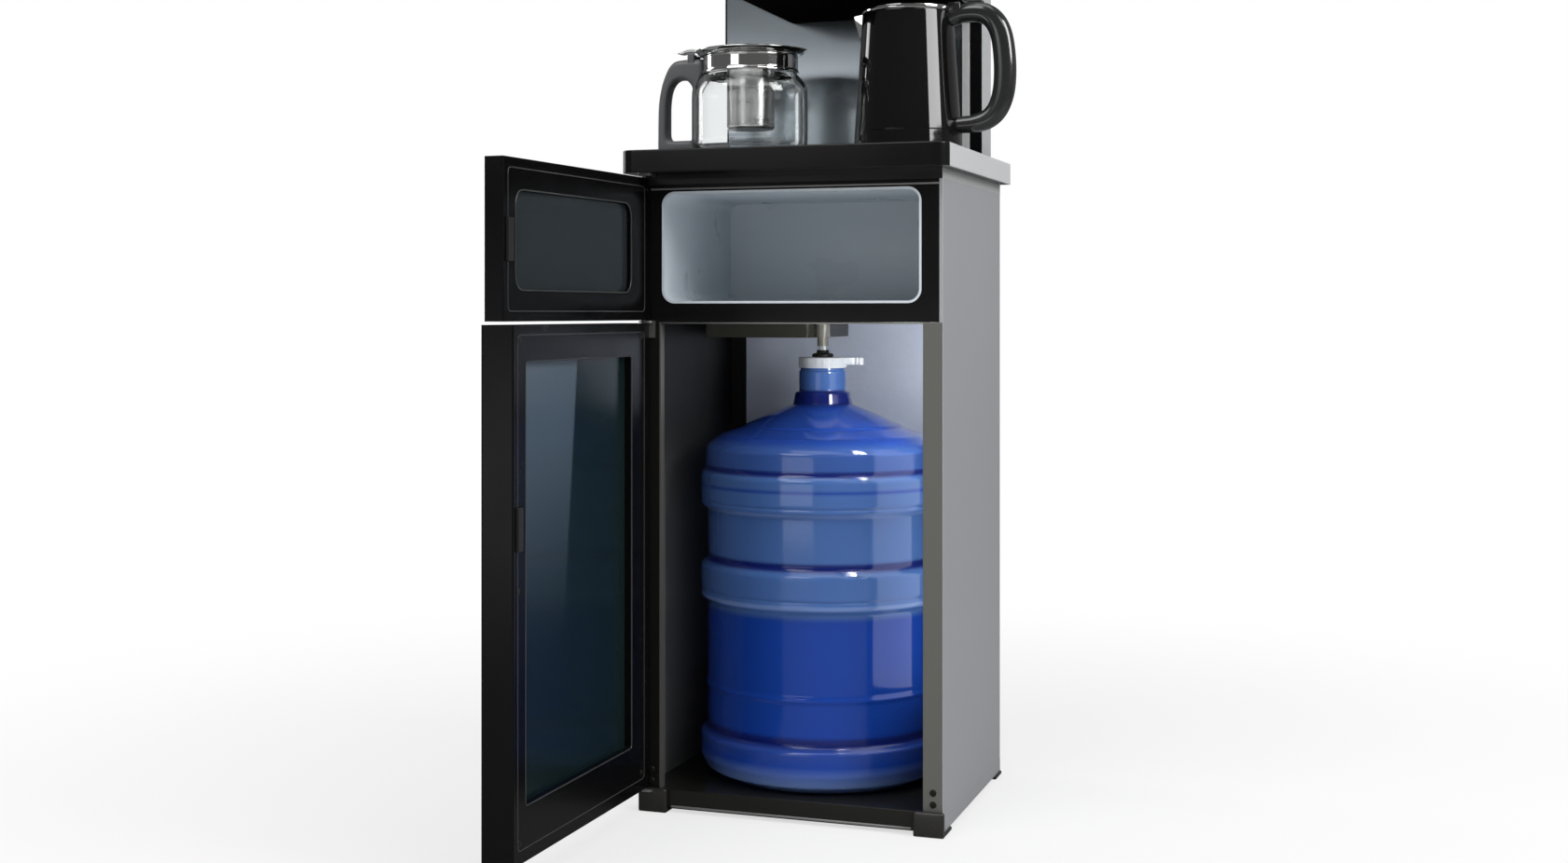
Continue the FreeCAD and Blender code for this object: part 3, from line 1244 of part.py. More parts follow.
# ---------------------------------------------------------------- table of nodes
NODES = {
    "base_tray": base_tray,
    "corner_feet": corner_feet,
    "side_panel_left": lambda: side_panel(-1),
    "side_panel_right": lambda: side_panel(1),
    "back_panel": back_panel,
    "bay_back_wall": bay_back_wall,
    "bay_ceiling": bay_ceiling,
    "hose_duct": hose_duct,
    "hose_fitting": hose_fitting,
    "supply_hose": supply_hose,
    "water_pump": water_pump,
    "compartment_frame": compartment_frame,
    "compartment_liner": compartment_liner,
    "collar": collar,
    "deck": deck,
    "warming_plate": warming_plate,
    "plate_heater": plate_heater,
    "kettle_base": kettle_base,
    "tower_shell": tower_shell,
    "tower_panel": tower_panel,
    "tower_trim": tower_trim,
    "head_shell": head_shell,
    "head_cover": head_cover,
    "spout_nozzle": spout_nozzle,
    "water_pipes": water_pipes,
    "control_panel": control_panel,
    "power_button": lambda: push_button(BUTTON_X[0]),
    "boil_button": lambda: push_button(BUTTON_X[1]),
    "fill_button": lambda: push_button(BUTTON_X[2]),
    "control_board": control_board,
    "power_board": power_board,
    "mains_inlet": mains_inlet,
    "cabinet_screws": cabinet_screws,
    "hinge_brackets": hinge_brackets,
    "hinge_pins": hinge_pins,
    "upper_door_frame": lambda: door_frame(UPPER_DOOR, False),
    "upper_door_panel": lambda: door_panel(UPPER_DOOR),
    "upper_door_window": lambda: door_window(UPPER_DOOR),
    "upper_door_magnet": lambda: door_magnet(UPPER_DOOR),
    "lower_door_frame": lambda: door_frame(LOWER_DOOR, True),
    "lower_door_panel": lambda: door_panel(LOWER_DOOR),
    "lower_door_window": lambda: door_window(LOWER_DOOR),
    "lower_door_magnet": lambda: door_magnet(LOWER_DOOR),
    "lower_door_screws": lower_door_screws,
    "bottle": bottle,
    "bottle_cap": bottle_cap,
    "suction_tube": suction_tube,
    "kettle_shell": kettle_shell,
    "kettle_foot": kettle_foot,
    "kettle_vessel": kettle_vessel,
    "kettle_rim": kettle_rim,
    "kettle_spout": kettle_spout,
    "kettle_handle": kettle_handle,
    "kettle_lid": kettle_lid,
    "lid_latch": lid_latch,
    "pot_glass": pot_glass,
    "pot_collar": pot_collar,
    "pot_handle": pot_handle,
    "pot_lid": pot_lid,
    "pot_basket": pot_basket,
}

for name, build in NODES.items():
    shape = build()
    solids = shape.Solids
    if not shape.isValid() or not solids:
        print("BAD", name, shape.isValid(), len(solids))
    print(name, len(solids), round(shape.Volume))
    shape.exportStep("parts/" + name + ".step")
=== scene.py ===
"""Looks of the bottom load water cooler, built round its CAD frame. Metres, +Z up."""
import json
import math
import random

import bmesh
import bpy
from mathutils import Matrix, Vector

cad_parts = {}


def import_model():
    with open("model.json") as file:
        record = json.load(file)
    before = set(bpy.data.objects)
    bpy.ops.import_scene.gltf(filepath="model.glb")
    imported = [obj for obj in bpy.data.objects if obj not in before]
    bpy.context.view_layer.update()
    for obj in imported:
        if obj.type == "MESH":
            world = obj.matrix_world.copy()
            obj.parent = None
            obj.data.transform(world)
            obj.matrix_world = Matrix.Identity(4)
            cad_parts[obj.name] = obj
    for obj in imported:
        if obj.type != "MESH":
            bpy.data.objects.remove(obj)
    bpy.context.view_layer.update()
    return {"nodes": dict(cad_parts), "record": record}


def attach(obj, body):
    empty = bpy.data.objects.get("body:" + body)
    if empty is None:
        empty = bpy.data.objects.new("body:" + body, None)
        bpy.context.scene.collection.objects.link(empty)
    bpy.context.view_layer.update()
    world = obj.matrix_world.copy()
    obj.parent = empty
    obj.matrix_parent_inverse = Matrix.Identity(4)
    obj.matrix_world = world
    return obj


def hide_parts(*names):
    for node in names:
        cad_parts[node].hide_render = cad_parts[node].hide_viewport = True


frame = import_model()
NODES = frame["nodes"]
SLOT_OF = {row["node"]: row["material_slot"] for row in frame["record"]["subparts"]}


# ------------------------------------------------------------ shader node helpers
MIX_SOCKETS = {"FLOAT": (2, 3, 0), "RGBA": (6, 7, 2)}      # inputs A and B, and the result


def feed(tree, socket, value):
    """Links another node's socket to this one, or sets it to a plain value."""
    if isinstance(value, bpy.types.NodeSocket):
        tree.links.new(value, socket)
    else:
        socket.default_value = value


def math_node(tree, operation, *values):
    node = tree.nodes.new("ShaderNodeMath")
    node.operation = operation
    for socket, value in zip(node.inputs, values):
        feed(tree, socket, value)
    return node.outputs[0]


def ranged(tree, source, span, target, smooth=True):
    """Maps a value from one span to another."""
    node = tree.nodes.new("ShaderNodeMapRange")
    if smooth:
        node.interpolation_type = "SMOOTHSTEP"
    for name, value in zip(("From Min", "From Max", "To Min", "To Max"), (*span, *target)):
        node.inputs[name].default_value = value
    tree.links.new(source, node.inputs["Value"])
    return node.outputs["Result"]


def mixed(tree, kind, factor, first, second, blend="MIX"):
    """First at factor 0 and second at factor 1; kind is FLOAT or RGBA."""
    node = tree.nodes.new("ShaderNodeMix")
    node.data_type = kind
    node.blend_type = blend
    first_at, second_at, result = MIX_SOCKETS[kind]
    for index, value in ((0, factor), (first_at, first), (second_at, second)):
        feed(tree, node.inputs[index], value)
    return node.outputs[result]


def place(tree, space="Object"):
    """Outputs X, Y and Z of the shaded point's place, in metres on an object."""
    coord = tree.nodes.new("ShaderNodeTexCoord")
    split = tree.nodes.new("ShaderNodeSeparateXYZ")
    tree.links.new(coord.outputs[space], split.inputs[0])
    return split.outputs


def noise(tree, vector, size, detail):
    node = tree.nodes.new("ShaderNodeTexNoise")
    node.inputs["Scale"].default_value = size
    node.inputs["Detail"].default_value = detail
    tree.links.new(vector, node.inputs["Vector"])
    return node.outputs["Fac"]


# ------------------------------------------------------------ camera, stage and light
AMBIENT = 0.34                  # the world's strength as light on the object
ROOM_Y = (-0.25, 0.45)          # direction in Y, from the room in front to the room behind
ROOM_LEVEL = (0.10, 0.16)       # what gloss sees there
FLOOR_HALF = 14.0
FLOOR_FADE = (0.35, 1.5)        # distance from the object at which its shade starts to fade, ends
FLOOR_SHADE = 0.34
FLOOR_PAINT = (0.74, 0.74, 0.74, 1)
FLOOR_IN_GLOSS = (0.22, 0.22, 0.22, 1)
WHITE = (1, 1, 1, 1)


def camera():
    data = bpy.data.cameras.new("view")
    data.sensor_width = 36.0
    data.lens = 44.53
    data.shift_x = 0.0482
    data.shift_y = -0.0760
    data.clip_end = 60
    obj = bpy.data.objects.new("view", data)
    obj.location = (0.608, -2.073, 0.532)
    obj.rotation_euler = (math.pi / 2, 0, 0.3468)
    bpy.context.scene.collection.objects.link(obj)
    bpy.context.scene.camera = obj


def softbox(name, at, target, width, height, radiance):
    """A rectangular lamp whose face glows at the given radiance."""
    data = bpy.data.lights.new(name, "AREA")
    data.shape = "RECTANGLE"
    data.size, data.size_y = width, height
    data.energy = math.pi * width * height * radiance
    obj = bpy.data.objects.new(name, data)
    obj.location = at
    aim = Vector(target) - Vector(at)
    obj.rotation_euler = aim.to_track_quat("-Z", "Y").to_euler()
    obj.visible_camera = False
    bpy.context.scene.collection.objects.link(obj)


def world():
    """White to the camera and through glass, plain light on the object, a dim room for gloss."""
    scene = bpy.context.scene
    made = bpy.data.worlds.new("studio")
    scene.world = made
    made.use_nodes = True
    tree = made.node_tree
    tree.nodes.clear()
    path = tree.nodes.new("ShaderNodeLightPath").outputs
    mirrored = math_node(tree, "MINIMUM", path["Glossy Depth"], 1.0)
    sharp = math_node(tree, "SUBTRACT", 1.0, path["Is Diffuse Ray"])
    room = ranged(tree, place(tree, "Generated")["Y"], ROOM_Y, ROOM_LEVEL)
    level = mixed(tree, "FLOAT", math_node(tree, "MULTIPLY", mirrored, sharp), AMBIENT, room)
    plain = math_node(tree, "SUBTRACT", 1.0, mirrored)
    through = math_node(tree, "MULTIPLY", path["Is Transmission Ray"], plain)
    seen = math_node(tree, "MAXIMUM", path["Is Camera Ray"], through)
    back = tree.nodes.new("ShaderNodeBackground")
    back.inputs["Color"].default_value = WHITE
    tree.links.new(mixed(tree, "FLOAT", seen, level, 1.0), back.inputs["Strength"])
    out = tree.nodes.new("ShaderNodeOutputWorld")
    tree.links.new(back.outputs[0], out.inputs["Surface"])
    scene.view_settings.view_transform = "Standard"


def floor():
    """Plain floor: real shade near the object, fading to the white of the backdrop."""
    mesh = bpy.data.meshes.new("floor")
    corners = ((-1, -1), (1, -1), (1, 1), (-1, 1))
    mesh.from_pydata([(FLOOR_HALF * x, FLOOR_HALF * y, 0) for x, y in corners], [],
                     [(0, 1, 2, 3)])
    obj = bpy.data.objects.new("floor", mesh)
    bpy.context.scene.collection.objects.link(obj)
    made = bpy.data.materials.new("floor_paint")
    made.use_nodes = True
    tree = made.node_tree
    tree.nodes.clear()
    new, link = tree.nodes.new, tree.links.new
    length = new("ShaderNodeVectorMath")
    length.operation = "LENGTH"
    link(new("ShaderNodeTexCoord").outputs["Object"], length.inputs[0])
    shade = ranged(tree, length.outputs["Value"], FLOOR_FADE, (FLOOR_SHADE, 0.0))
    path = new("ShaderNodeLightPath").outputs
    paint = new("ShaderNodeBsdfDiffuse")
    link(mixed(tree, "RGBA", path["Is Glossy Ray"], FLOOR_PAINT, FLOOR_IN_GLOSS),
         paint.inputs["Color"])
    glow = new("ShaderNodeEmission")
    glow.inputs["Color"].default_value = WHITE
    near = new("ShaderNodeMixShader")
    link(shade, near.inputs["Fac"])
    link(glow.outputs[0], near.inputs[1])
    link(paint.outputs[0], near.inputs[2])
    both = new("ShaderNodeMixShader")
    link(math_node(tree, "MAXIMUM", path["Is Camera Ray"], path["Is Transmission Ray"]),
         both.inputs["Fac"])
    link(paint.outputs[0], both.inputs[1])
    link(near.outputs[0], both.inputs[2])
    out = new("ShaderNodeOutputMaterial")
    link(both.outputs[0], out.inputs["Surface"])
    mesh.materials.append(made)


camera()
world()
floor()
softbox("key", (-1.0, -2.3, 3.0), (0, 0, 0.5), 2.2, 1.8, 3.5)
softbox("low", (-0.55, -2.3, 0.24), (-0.03, 0, 0.24), 1.8, 0.44, 1.3)
softbox("bay", (0.124, -0.118, 0.500), (0.08, 0.13, 0.40), 0.04, 0.07, 34.0)
softbox("bay_side", (0.1496, -0.085, 0.315), (0, -0.085, 0.315), 0.09, 0.38, 1.5)
softbox("right", (2.15, -0.55, 1.75), (0.1, -0.05, 0.7), 1.25, 1.2, 10.0)
softbox("front_right", (1.5, -1.5, 2.1), (0, 0, 0.8), 0.8, 0.6, 2.5)
softbox("panel", (-0.82, -2.1, 1.015), (-0.05, 0.1, 0.8), 0.75, 0.21, 1.5)
softbox("left", (-2.1, 0.35, 1.25), (0, -0.05, 0.7), 0.5, 1.5, 5.0)
softbox("top", (0.1, -0.4, 3.2), (0, 0, 0.6), 2.0, 2.0, 1.6)


# ------------------------------------------------------------ materials
NOISE_SPAN = (0.3, 0.7)         # where nearly all of the noise lies


def finish(name, colour, rough, metal=0.0, spec=0.5, vary=0.05, vary_size=9.0, rough_vary=0.05,
           grain=0.0, grain_size=900.0, stretch=(1, 1, 1), edge=0.0, **extra):
    """Principled material with slow colour and roughness changes and a fine bump."""
    made = bpy.data.materials.new(name)
    made.use_nodes = True
    tree = made.node_tree
    new, link = tree.nodes.new, tree.links.new
    bsdf = tree.nodes["Principled BSDF"]
    bsdf.inputs["Metallic"].default_value = metal
    bsdf.inputs["Specular IOR Level"].default_value = spec
    for key, value in extra.items():
        bsdf.inputs[key.replace("_", " ").title().replace("Ior", "IOR")].default_value = value
    coord = new("ShaderNodeTexCoord")
    mapping = new("ShaderNodeMapping")
    mapping.inputs["Scale"].default_value = stretch
    link(coord.outputs["Object"], mapping.inputs["Vector"])
    cloud = noise(tree, mapping.outputs[0], vary_size, 5.0)
    darker = (*(c * (1 - vary) for c in colour), 1)
    lighter = (*(min(1, c * (1 + vary)) for c in colour), 1)
    link(mixed(tree, "RGBA", cloud, darker, lighter), bsdf.inputs["Base Color"])
    rough_span = (max(0.0, rough - rough_vary), min(1.0, rough + rough_vary))
    link(ranged(tree, cloud, NOISE_SPAN, rough_span, smooth=False), bsdf.inputs["Roughness"])
    rounded = None
    if edge:
        rounded = new("ShaderNodeBevel")
        rounded.samples = 4
        rounded.inputs["Radius"].default_value = edge
        link(rounded.outputs[0], bsdf.inputs["Normal"])
    if grain:
        bump = new("ShaderNodeBump")
        bump.inputs["Strength"].default_value = 0.5
        bump.inputs["Distance"].default_value = grain
        link(noise(tree, mapping.outputs[0], grain_size, 3.0), bump.inputs["Height"])
        if rounded:
            link(rounded.outputs[0], bump.inputs["Normal"])
        link(bump.outputs[0], bsdf.inputs["Normal"])
    return made


LOOKS = {
    "grey_steel": finish("grey_steel", (0.40, 0.405, 0.415), 0.36, metal=0.75, vary=0.05,
                         vary_size=6, grain=0.00006, grain_size=700, edge=0.0008),
    "black_gloss": finish("black_gloss", (0.006, 0.006, 0.0065), 0.12, spec=0.3, vary=0.2,
                          rough_vary=0.04, grain=0.00001, grain_size=60, edge=0.001),
    "door_gloss": finish("door_gloss", (0.004, 0.004, 0.005), 0.06, spec=0.3, vary=0.2,
                         rough_vary=0.03, edge=0.0006),
    "black_plastic": finish("black_plastic", (0.0030, 0.0030, 0.0031), 0.24, spec=0.18, vary=0.15,
                            grain=0.00003, grain_size=1500, edge=0.0010),
    "foot_plastic": finish("foot_plastic", (0.020, 0.0195, 0.017), 0.26, spec=0.5, vary=0.15,
                           grain=0.00004, grain_size=1300, edge=0.0012),
    "light_plastic": finish("light_plastic", (0.66, 0.72, 0.77), 0.30, vary=0.03, rough_vary=0.05,
                            grain=0.000006, grain_size=1200),
    "smoked_glass": finish("smoked_glass", (0.016, 0.020, 0.022), 0.16, spec=0.35, vary=0.1,
                           rough_vary=0.02),
    "mirror_panel": finish("mirror_panel", (0.42, 0.47, 0.51), 0.17, metal=0.92, vary=0.03,
                           rough_vary=0.02),
    "trim_aluminium": finish("trim_aluminium", (0.84, 0.85, 0.86), 0.3, metal=0.2, vary=0.03,
                             grain=0.00003, grain_size=400, stretch=(20, 20, 1), edge=0.0004),
    "control_glass": finish("control_glass", (0.006, 0.006, 0.007), 0.05, spec=0.45,
                            rough_vary=0.02, edge=0.0006),
    "plate_glass": finish("plate_glass", (0.008, 0.008, 0.009), 0.08, spec=0.5, rough_vary=0.03,
                          edge=0.0004),
    "button_plastic": finish("button_plastic", (0.05, 0.05, 0.055), 0.28, grain=0.00003),
    "zinc_steel": finish("zinc_steel", (0.42, 0.42, 0.40), 0.36, metal=0.9, vary=0.12,
                         vary_size=40, rough_vary=0.06, grain=0.000008, grain_size=500),
    # The foil's light grey is its own; its blue cast is painted light from the blue bottle.
    "foil_board": finish("foil_board", (0.74, 0.81, 0.97), 0.36, metal=0.15, vary=0.05,
                         vary_size=30, grain=0.0006, grain_size=150),
    "board_green": finish("board_green", (0.03, 0.14, 0.07), 0.4, vary=0.3, vary_size=120,
                          grain=0.0001, grain_size=600),
    "dark_parts": finish("dark_parts", (0.012, 0.012, 0.012), 0.42, spec=0.3, grain=0.00004,
                         grain_size=1200, edge=0.0006),
    "hose_rubber": finish("hose_rubber", (0.24, 0.24, 0.20), 0.4, transmission_weight=0.3,
                          grain=0.00004),
    "white_plastic": finish("white_plastic", (0.56, 0.59, 0.62), 0.35, vary=0.03, grain=0.00004,
                            grain_size=900, edge=0.0005),
    "magnet_rubber": finish("magnet_rubber", (0.010, 0.010, 0.010), 0.6, vary=0.2, grain=0.0001),
    "bottle_blue": finish("bottle_blue", (0.052, 0.135, 0.60), 0.10, spec=0.7, vary=0.06,
                          rough_vary=0.02, transmission_weight=0.55, ior=1.45),
    "kettle_black": finish("kettle_black", (0.004, 0.004, 0.004), 0.06, spec=0.25, vary=0.15,
                           rough_vary=0.02, edge=0.0004, coat_weight=0.6, coat_roughness=0.03),
    "grip_plastic": finish("grip_plastic", (0.016, 0.0165, 0.017), 0.16, spec=0.9, vary=0.06,
                           grain=0.00003, grain_size=1500, edge=0.001),
    "polished_steel": finish("polished_steel", (0.80, 0.80, 0.79), 0.05, metal=1.0, vary=0.02,
                             rough_vary=0.02),
    "plain_steel": finish("plain_steel", (0.70, 0.70, 0.69), 0.16, metal=1.0, vary=0.04,
                          rough_vary=0.04, grain=0.00002, grain_size=300, stretch=(1, 1, 14)),
    "clear_glass": finish("clear_glass", (0.97, 0.985, 0.985), 0.01, rough_vary=0.008, vary=0.01,
                          transmission_weight=1.0, ior=1.47),
}


def zone(made, tests, colour, rough, metal):
    """A part of the surface, picked by its place on the object, with another finish.

    Each test is (axis, sign, limit): the coordinate is above limit where sign is 1, and below it
    where sign is -1. Axis X, Y, Z or "A" for the distance from the middle plane x = 0."""
    tree = made.node_tree
    spot = place(tree)
    factor = None
    for axis, sign, limit in tests:
        value = math_node(tree, "ABSOLUTE", spot["X"]) if axis == "A" else spot[axis]
        inside = math_node(tree, "GREATER_THAN" if sign > 0 else "LESS_THAN", value, limit)
        factor = math_node(tree, "MULTIPLY", factor, inside) if factor else inside
    for name, kind, value in (("Base Color", "RGBA", (*colour, 1)), ("Roughness", "FLOAT", rough),
                              ("Metallic", "FLOAT", metal)):
        socket = tree.nodes["Principled BSDF"].inputs[name]
        before = socket.links[0].from_socket if socket.links else socket.default_value
        tree.links.new(mixed(tree, kind, factor, before, value), socket)


def painted_shade_upwards(made, low, high, share):
    """Paints shade: darkens the colour with height, from all of it at low to a share of it at
    high.
    """
    tree = made.node_tree
    socket = tree.nodes["Principled BSDF"].inputs["Base Color"]
    scaled = tree.nodes.new("ShaderNodeVectorMath")
    scaled.operation = "SCALE"
    tree.links.new(socket.links[0].from_socket, scaled.inputs[0])
    tree.links.new(ranged(tree, place(tree)["Z"], (low, high), (1.0, share)),
                   scaled.inputs["Scale"])
    tree.links.new(scaled.outputs[0], socket)


def dress(node, look):
    data = NODES[node].data
    data.materials.clear()
    data.materials.append(look)


for node in NODES:
    dress(node, LOOKS[SLOT_OF[node]])

# Limits of the zones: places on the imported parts, in metres.
OUTER_X = 0.1632                # the sides' outer faces
FRONT_Y = -0.1440               # the front folds' outer faces
POST_Y, POST_X = -0.1340, -0.1445       # the left post's face towards the bay
EDGE_X = -0.1612                # the left front fold's outer strip
UPPER_Z = 0.5215                # above the bottle bay
REAR_FOLD_Y = 0.1420            # the rear folds, with their inner faces
REAR_Y = 0.1436                 # the rear folds' outer faces
BACK_Y = 0.1425                 # the back panel's inner face
DECK_X, DECK_Y = 0.1745, -0.1672        # the worktop's side edges, behind its front corners
TOWER_X = 0.1534                # the tower's side

SILVER = ((0.36, 0.371, 0.390), 0.42, 0.3)
# Painted shade: near black for faces that lie in shadow.
UNLIT = ((0.008, 0.008, 0.008), 0.45, 0.0)
LIGHT_EDGE = (0.42, 0.43, 0.43)

panel_left = finish("panel_left", (0.112, 0.116, 0.116), 0.45, spec=0.35, vary=0.1, edge=0.0006)
# Painted shade: the left panel's inside darkens upwards, over the part that the bay lamps light
# above the bottle.
painted_shade_upwards(panel_left, low=0.28, high=0.43, share=0.15)
# Painted shade: the left post's front, the same olive-grey sheet as the right post's, is made near
# black.
zone(panel_left, [("Y", -1, FRONT_Y)], (0.010, 0.010, 0.009), 0.35, 0.3)
zone(panel_left, [("Y", -1, POST_Y), ("X", 1, POST_X)], (0.14, 0.135, 0.115), 0.35, 0.5)
zone(panel_left, [("Y", -1, FRONT_Y), ("X", -1, EDGE_X), ("Z", 1, UPPER_Z)], LIGHT_EDGE, 0.35,
     0.4)
# Painted shade on the left rear fold's inner faces.
zone(panel_left, [("Y", 1, REAR_FOLD_Y)], *UNLIT)
panel_right = finish("panel_right", (0.16, 0.165, 0.17), 0.42, spec=0.35, vary=0.1, edge=0.0006)
zone(panel_right, [("Y", -1, FRONT_Y)], (0.150, 0.150, 0.138), 0.45, 0.3)
zone(panel_right, [("Y", -1, FRONT_Y), ("Z", 1, UPPER_Z)], LIGHT_EDGE, 0.4, 0.3)
for side, look in (("left", panel_left), ("right", panel_right)):
    zone(look, [("Y", 1, REAR_Y)], *SILVER)
    zone(look, [("A", 1, OUTER_X)], *SILVER)
    dress(f"side_panel_{side}", look)
back_look = finish("back_look", (0.42, 0.42, 0.40), 0.36, metal=0.9, vary=0.12, vary_size=40,
                   rough_vary=0.06, grain=0.000008, grain_size=500)
# Painted shadow: the back panel's inner face, behind the foil board, is made near black.
zone(back_look, [("Y", -1, BACK_Y)], *UNLIT)
dress("back_panel", back_look)
collar_look = finish("collar_look", (0.012, 0.012, 0.012), 0.2, spec=0.35, edge=0.0006)
zone(collar_look, [("A", 1, OUTER_X)], (0.44, 0.45, 0.45), 0.4, 0.3)
dress("collar", collar_look)
deck_look = finish("deck_look", (0.005, 0.005, 0.005), 0.16, spec=0.3, vary=0.2,
                   rough_vary=0.04, edge=0.0015)
zone(deck_look, [("A", 1, DECK_X), ("Y", 1, DECK_Y)], (0.58, 0.59, 0.60), 0.4, 0.2)
dress("deck", deck_look)
tower_look = finish("tower_look", (0.006, 0.006, 0.006), 0.16, spec=0.3, vary=0.2, edge=0.0008)
zone(tower_look, [("A", 1, TOWER_X)], (0.50, 0.51, 0.52), 0.42, 0.3)
dress("tower_shell", tower_look)
tray_look = finish("tray_look", (0.013, 0.0128, 0.011), 0.22, spec=0.35, vary=0.2, edge=0.0012)
zone(tray_look, [("A", 1, OUTER_X)], *SILVER)
dress("base_tray", tray_look)
cover_look = finish("cover_look", (0.004, 0.004, 0.004), 0.7, spec=0.0, vary=0.2, grain=0.00004)
dress("head_cover", cover_look)
fitting_look = finish("fitting_look", (0.20, 0.20, 0.17), 0.35, vary=0.05, grain=0.00003)
dress("hose_fitting", fitting_look)
duct_look = finish("duct_look", (0.040, 0.040, 0.032), 0.45, spec=0.3, vary=0.1, edge=0.002)
dress("hose_duct", duct_look)
pane_look = finish("pane_look", (0.006, 0.013, 0.014), 0.22, spec=0.3, vary=0.1, rough_vary=0.03)
PAINTED_REFLECTION_Z = (0.20, 0.48)          # no painted reflection at the lower height, all of it at the upper


def painted_reflection(made, colour, start, slope, soft):
    """Paints a reflection on the pane past a slanted line in Y and Z, more so with height."""
    tree = made.node_tree
    spot = place(tree)
    lean = math_node(tree, "MULTIPLY_ADD", spot["Z"], slope, spot["Y"])
    past = ranged(tree, lean, (start - soft, start + soft), (1.0, 0.0))
    share = math_node(tree, "MULTIPLY", past, ranged(tree, spot["Z"], PAINTED_REFLECTION_Z, (0.0, 1.0)))
    socket = tree.nodes["Principled BSDF"].inputs["Base Color"]
    tree.links.new(mixed(tree, "RGBA", share, socket.links[0].from_socket, (*colour, 1)), socket)


# Painted reflection: a lighter blue-grey on the pane's free side, above a slanted line.
painted_reflection(pane_look, (0.062, 0.086, 0.108), start=-0.375, slope=-0.12, soft=0.004)
dress("lower_door_window", pane_look)


# ------------------------------------------------------------ mesh helpers, in millimetres
MM = 0.001
SHARP_ANGLE = 38        # degrees between faces from which an edge is shaded sharp


def mesh_of(name, verts, faces):
    mesh = bpy.data.meshes.new(name)
    mesh.from_pydata([tuple(c * MM for c in v) for v in verts], [], faces)
    work = bmesh.new()
    work.from_mesh(mesh)
    bmesh.ops.remove_doubles(work, verts=work.verts, dist=1e-7)
    bmesh.ops.recalc_face_normals(work, faces=work.faces)
    work.to_mesh(mesh)
    work.free()
    return mesh


def piece(name, shape, body, slot, replaced=(), look=None, angle=SHARP_ANGLE):
    """Makes an object of (verts, faces), lets it ride on a body and gives it its finish."""
    mesh = mesh_of(name, *shape)
    for polygon in mesh.polygons:
        polygon.use_smooth = True
    mesh.set_sharp_from_angle(angle=math.radians(angle))
    mesh.materials.append(look or LOOKS[slot])
    obj = bpy.data.objects.new(name, mesh)
    bpy.context.scene.collection.objects.link(obj)
    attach(obj, body)
    if replaced:
        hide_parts(*replaced)
    return obj


def joined(*shapes):
    """Several (verts, faces) as one."""
    verts, faces = [], []
    for more_verts, more_faces in shapes:
        first = len(verts)
        verts += more_verts
        faces += [tuple(first + i for i in face) for face in more_faces]
    return verts, faces


def soften(points, reach, loop=False, parts=4):
    """The polyline with its corners rounded, each by at most reach."""
    count = len(points)
    made = []
    for i, point in enumerate(points):
        if not loop and i in (0, count - 1):
            made.append(tuple(point))
            continue
        here = Vector(point)
        before = Vector(points[i - 1]) - here
        after = Vector(points[(i + 1) % count]) - here
        size = reach[i] if isinstance(reach, (list, tuple)) else reach
        start = here + before * min(size / max(before.length, 1e-9), 0.48)
        end = here + after * min(size / max(after.length, 1e-9), 0.48)
        for k in range(parts + 1):
            t = k / parts
            made.append(tuple(start * (1 - t) ** 2 + here * (2 * t * (1 - t)) + end * t * t))
    return made


def braced(points, loop, near=0.8, long=4.0):
    """Adds points close to both ends of every long run, so that flats are shaded flat."""
    made = []
    size = len(points)
    for i, point in enumerate(points):
        made.append(point)
        if i + 1 == size and not loop:
            break
        here, there = Vector(point), Vector(points[(i + 1) % size])
        length = (there - here).length
        if length > long:
            made.append(tuple(here.lerp(there, near / length)))
            made.append(tuple(there.lerp(here, near / length)))
    return made


def lathe(points, cx, cy, steps=128, loop=False, ripple=None):
    """Revolves (r, z) points. ripple(r, z, angle) may change the radius."""
    verts, rings = [], []
    for r, z in braced(points, loop):
        if r < 1e-6:
            rings.append([len(verts)])
            verts.append((cx, cy, z))
            continue
        rings.append(list(range(len(verts), len(verts) + steps)))
        for i in range(steps):
            angle = 2 * math.pi * i / steps
            radius = ripple(r, z, angle) if ripple else r
            verts.append((cx + radius * math.cos(angle), cy + radius * math.sin(angle), z))
    faces = []
    pairs = list(zip(rings, rings[1:]))
    if loop:
        pairs.append((rings[-1], rings[0]))
    for a, b in pairs:
        for i in range(steps):
            j = (i + 1) % steps
            if len(a) == 1 and len(b) > 1:
                faces.append((a[0], b[j], b[i]))
            elif len(b) == 1 and len(a) > 1:
                faces.append((a[i], a[j], b[0]))
            elif len(a) > 1:
                faces.append((a[i], a[j], b[j], b[i]))
    return verts, faces


def loft(rings, closed=False):
    """Skins rings of equal count; closed joins the last to the first, else both are capped."""
    verts = [v for ring in rings for v in ring]
    count = len(rings[0])
    faces = []
    last = len(rings) if closed else len(rings) - 1
    for k in range(last):
        a, b = k * count, ((k + 1) % len(rings)) * count
        for i in range(count):
            j = (i + 1) % count
            faces.append((a + i, a + j, b + j, b + i))
    if not closed:
        faces.append(tuple(range(count)))
        faces.append(tuple(range((len(rings) - 1) * count, len(rings) * count)))
    return verts, faces


def oval(power, steps):
    """Points of a superellipse of half size 1."""
    made = []
    for i in range(steps):
        angle = 2 * math.pi * i / steps
        c, s = math.cos(angle), math.sin(angle)
        made.append((math.copysign(abs(c) ** (2 / power), c),
                     math.copysign(abs(s) ** (2 / power), s)))
    return made


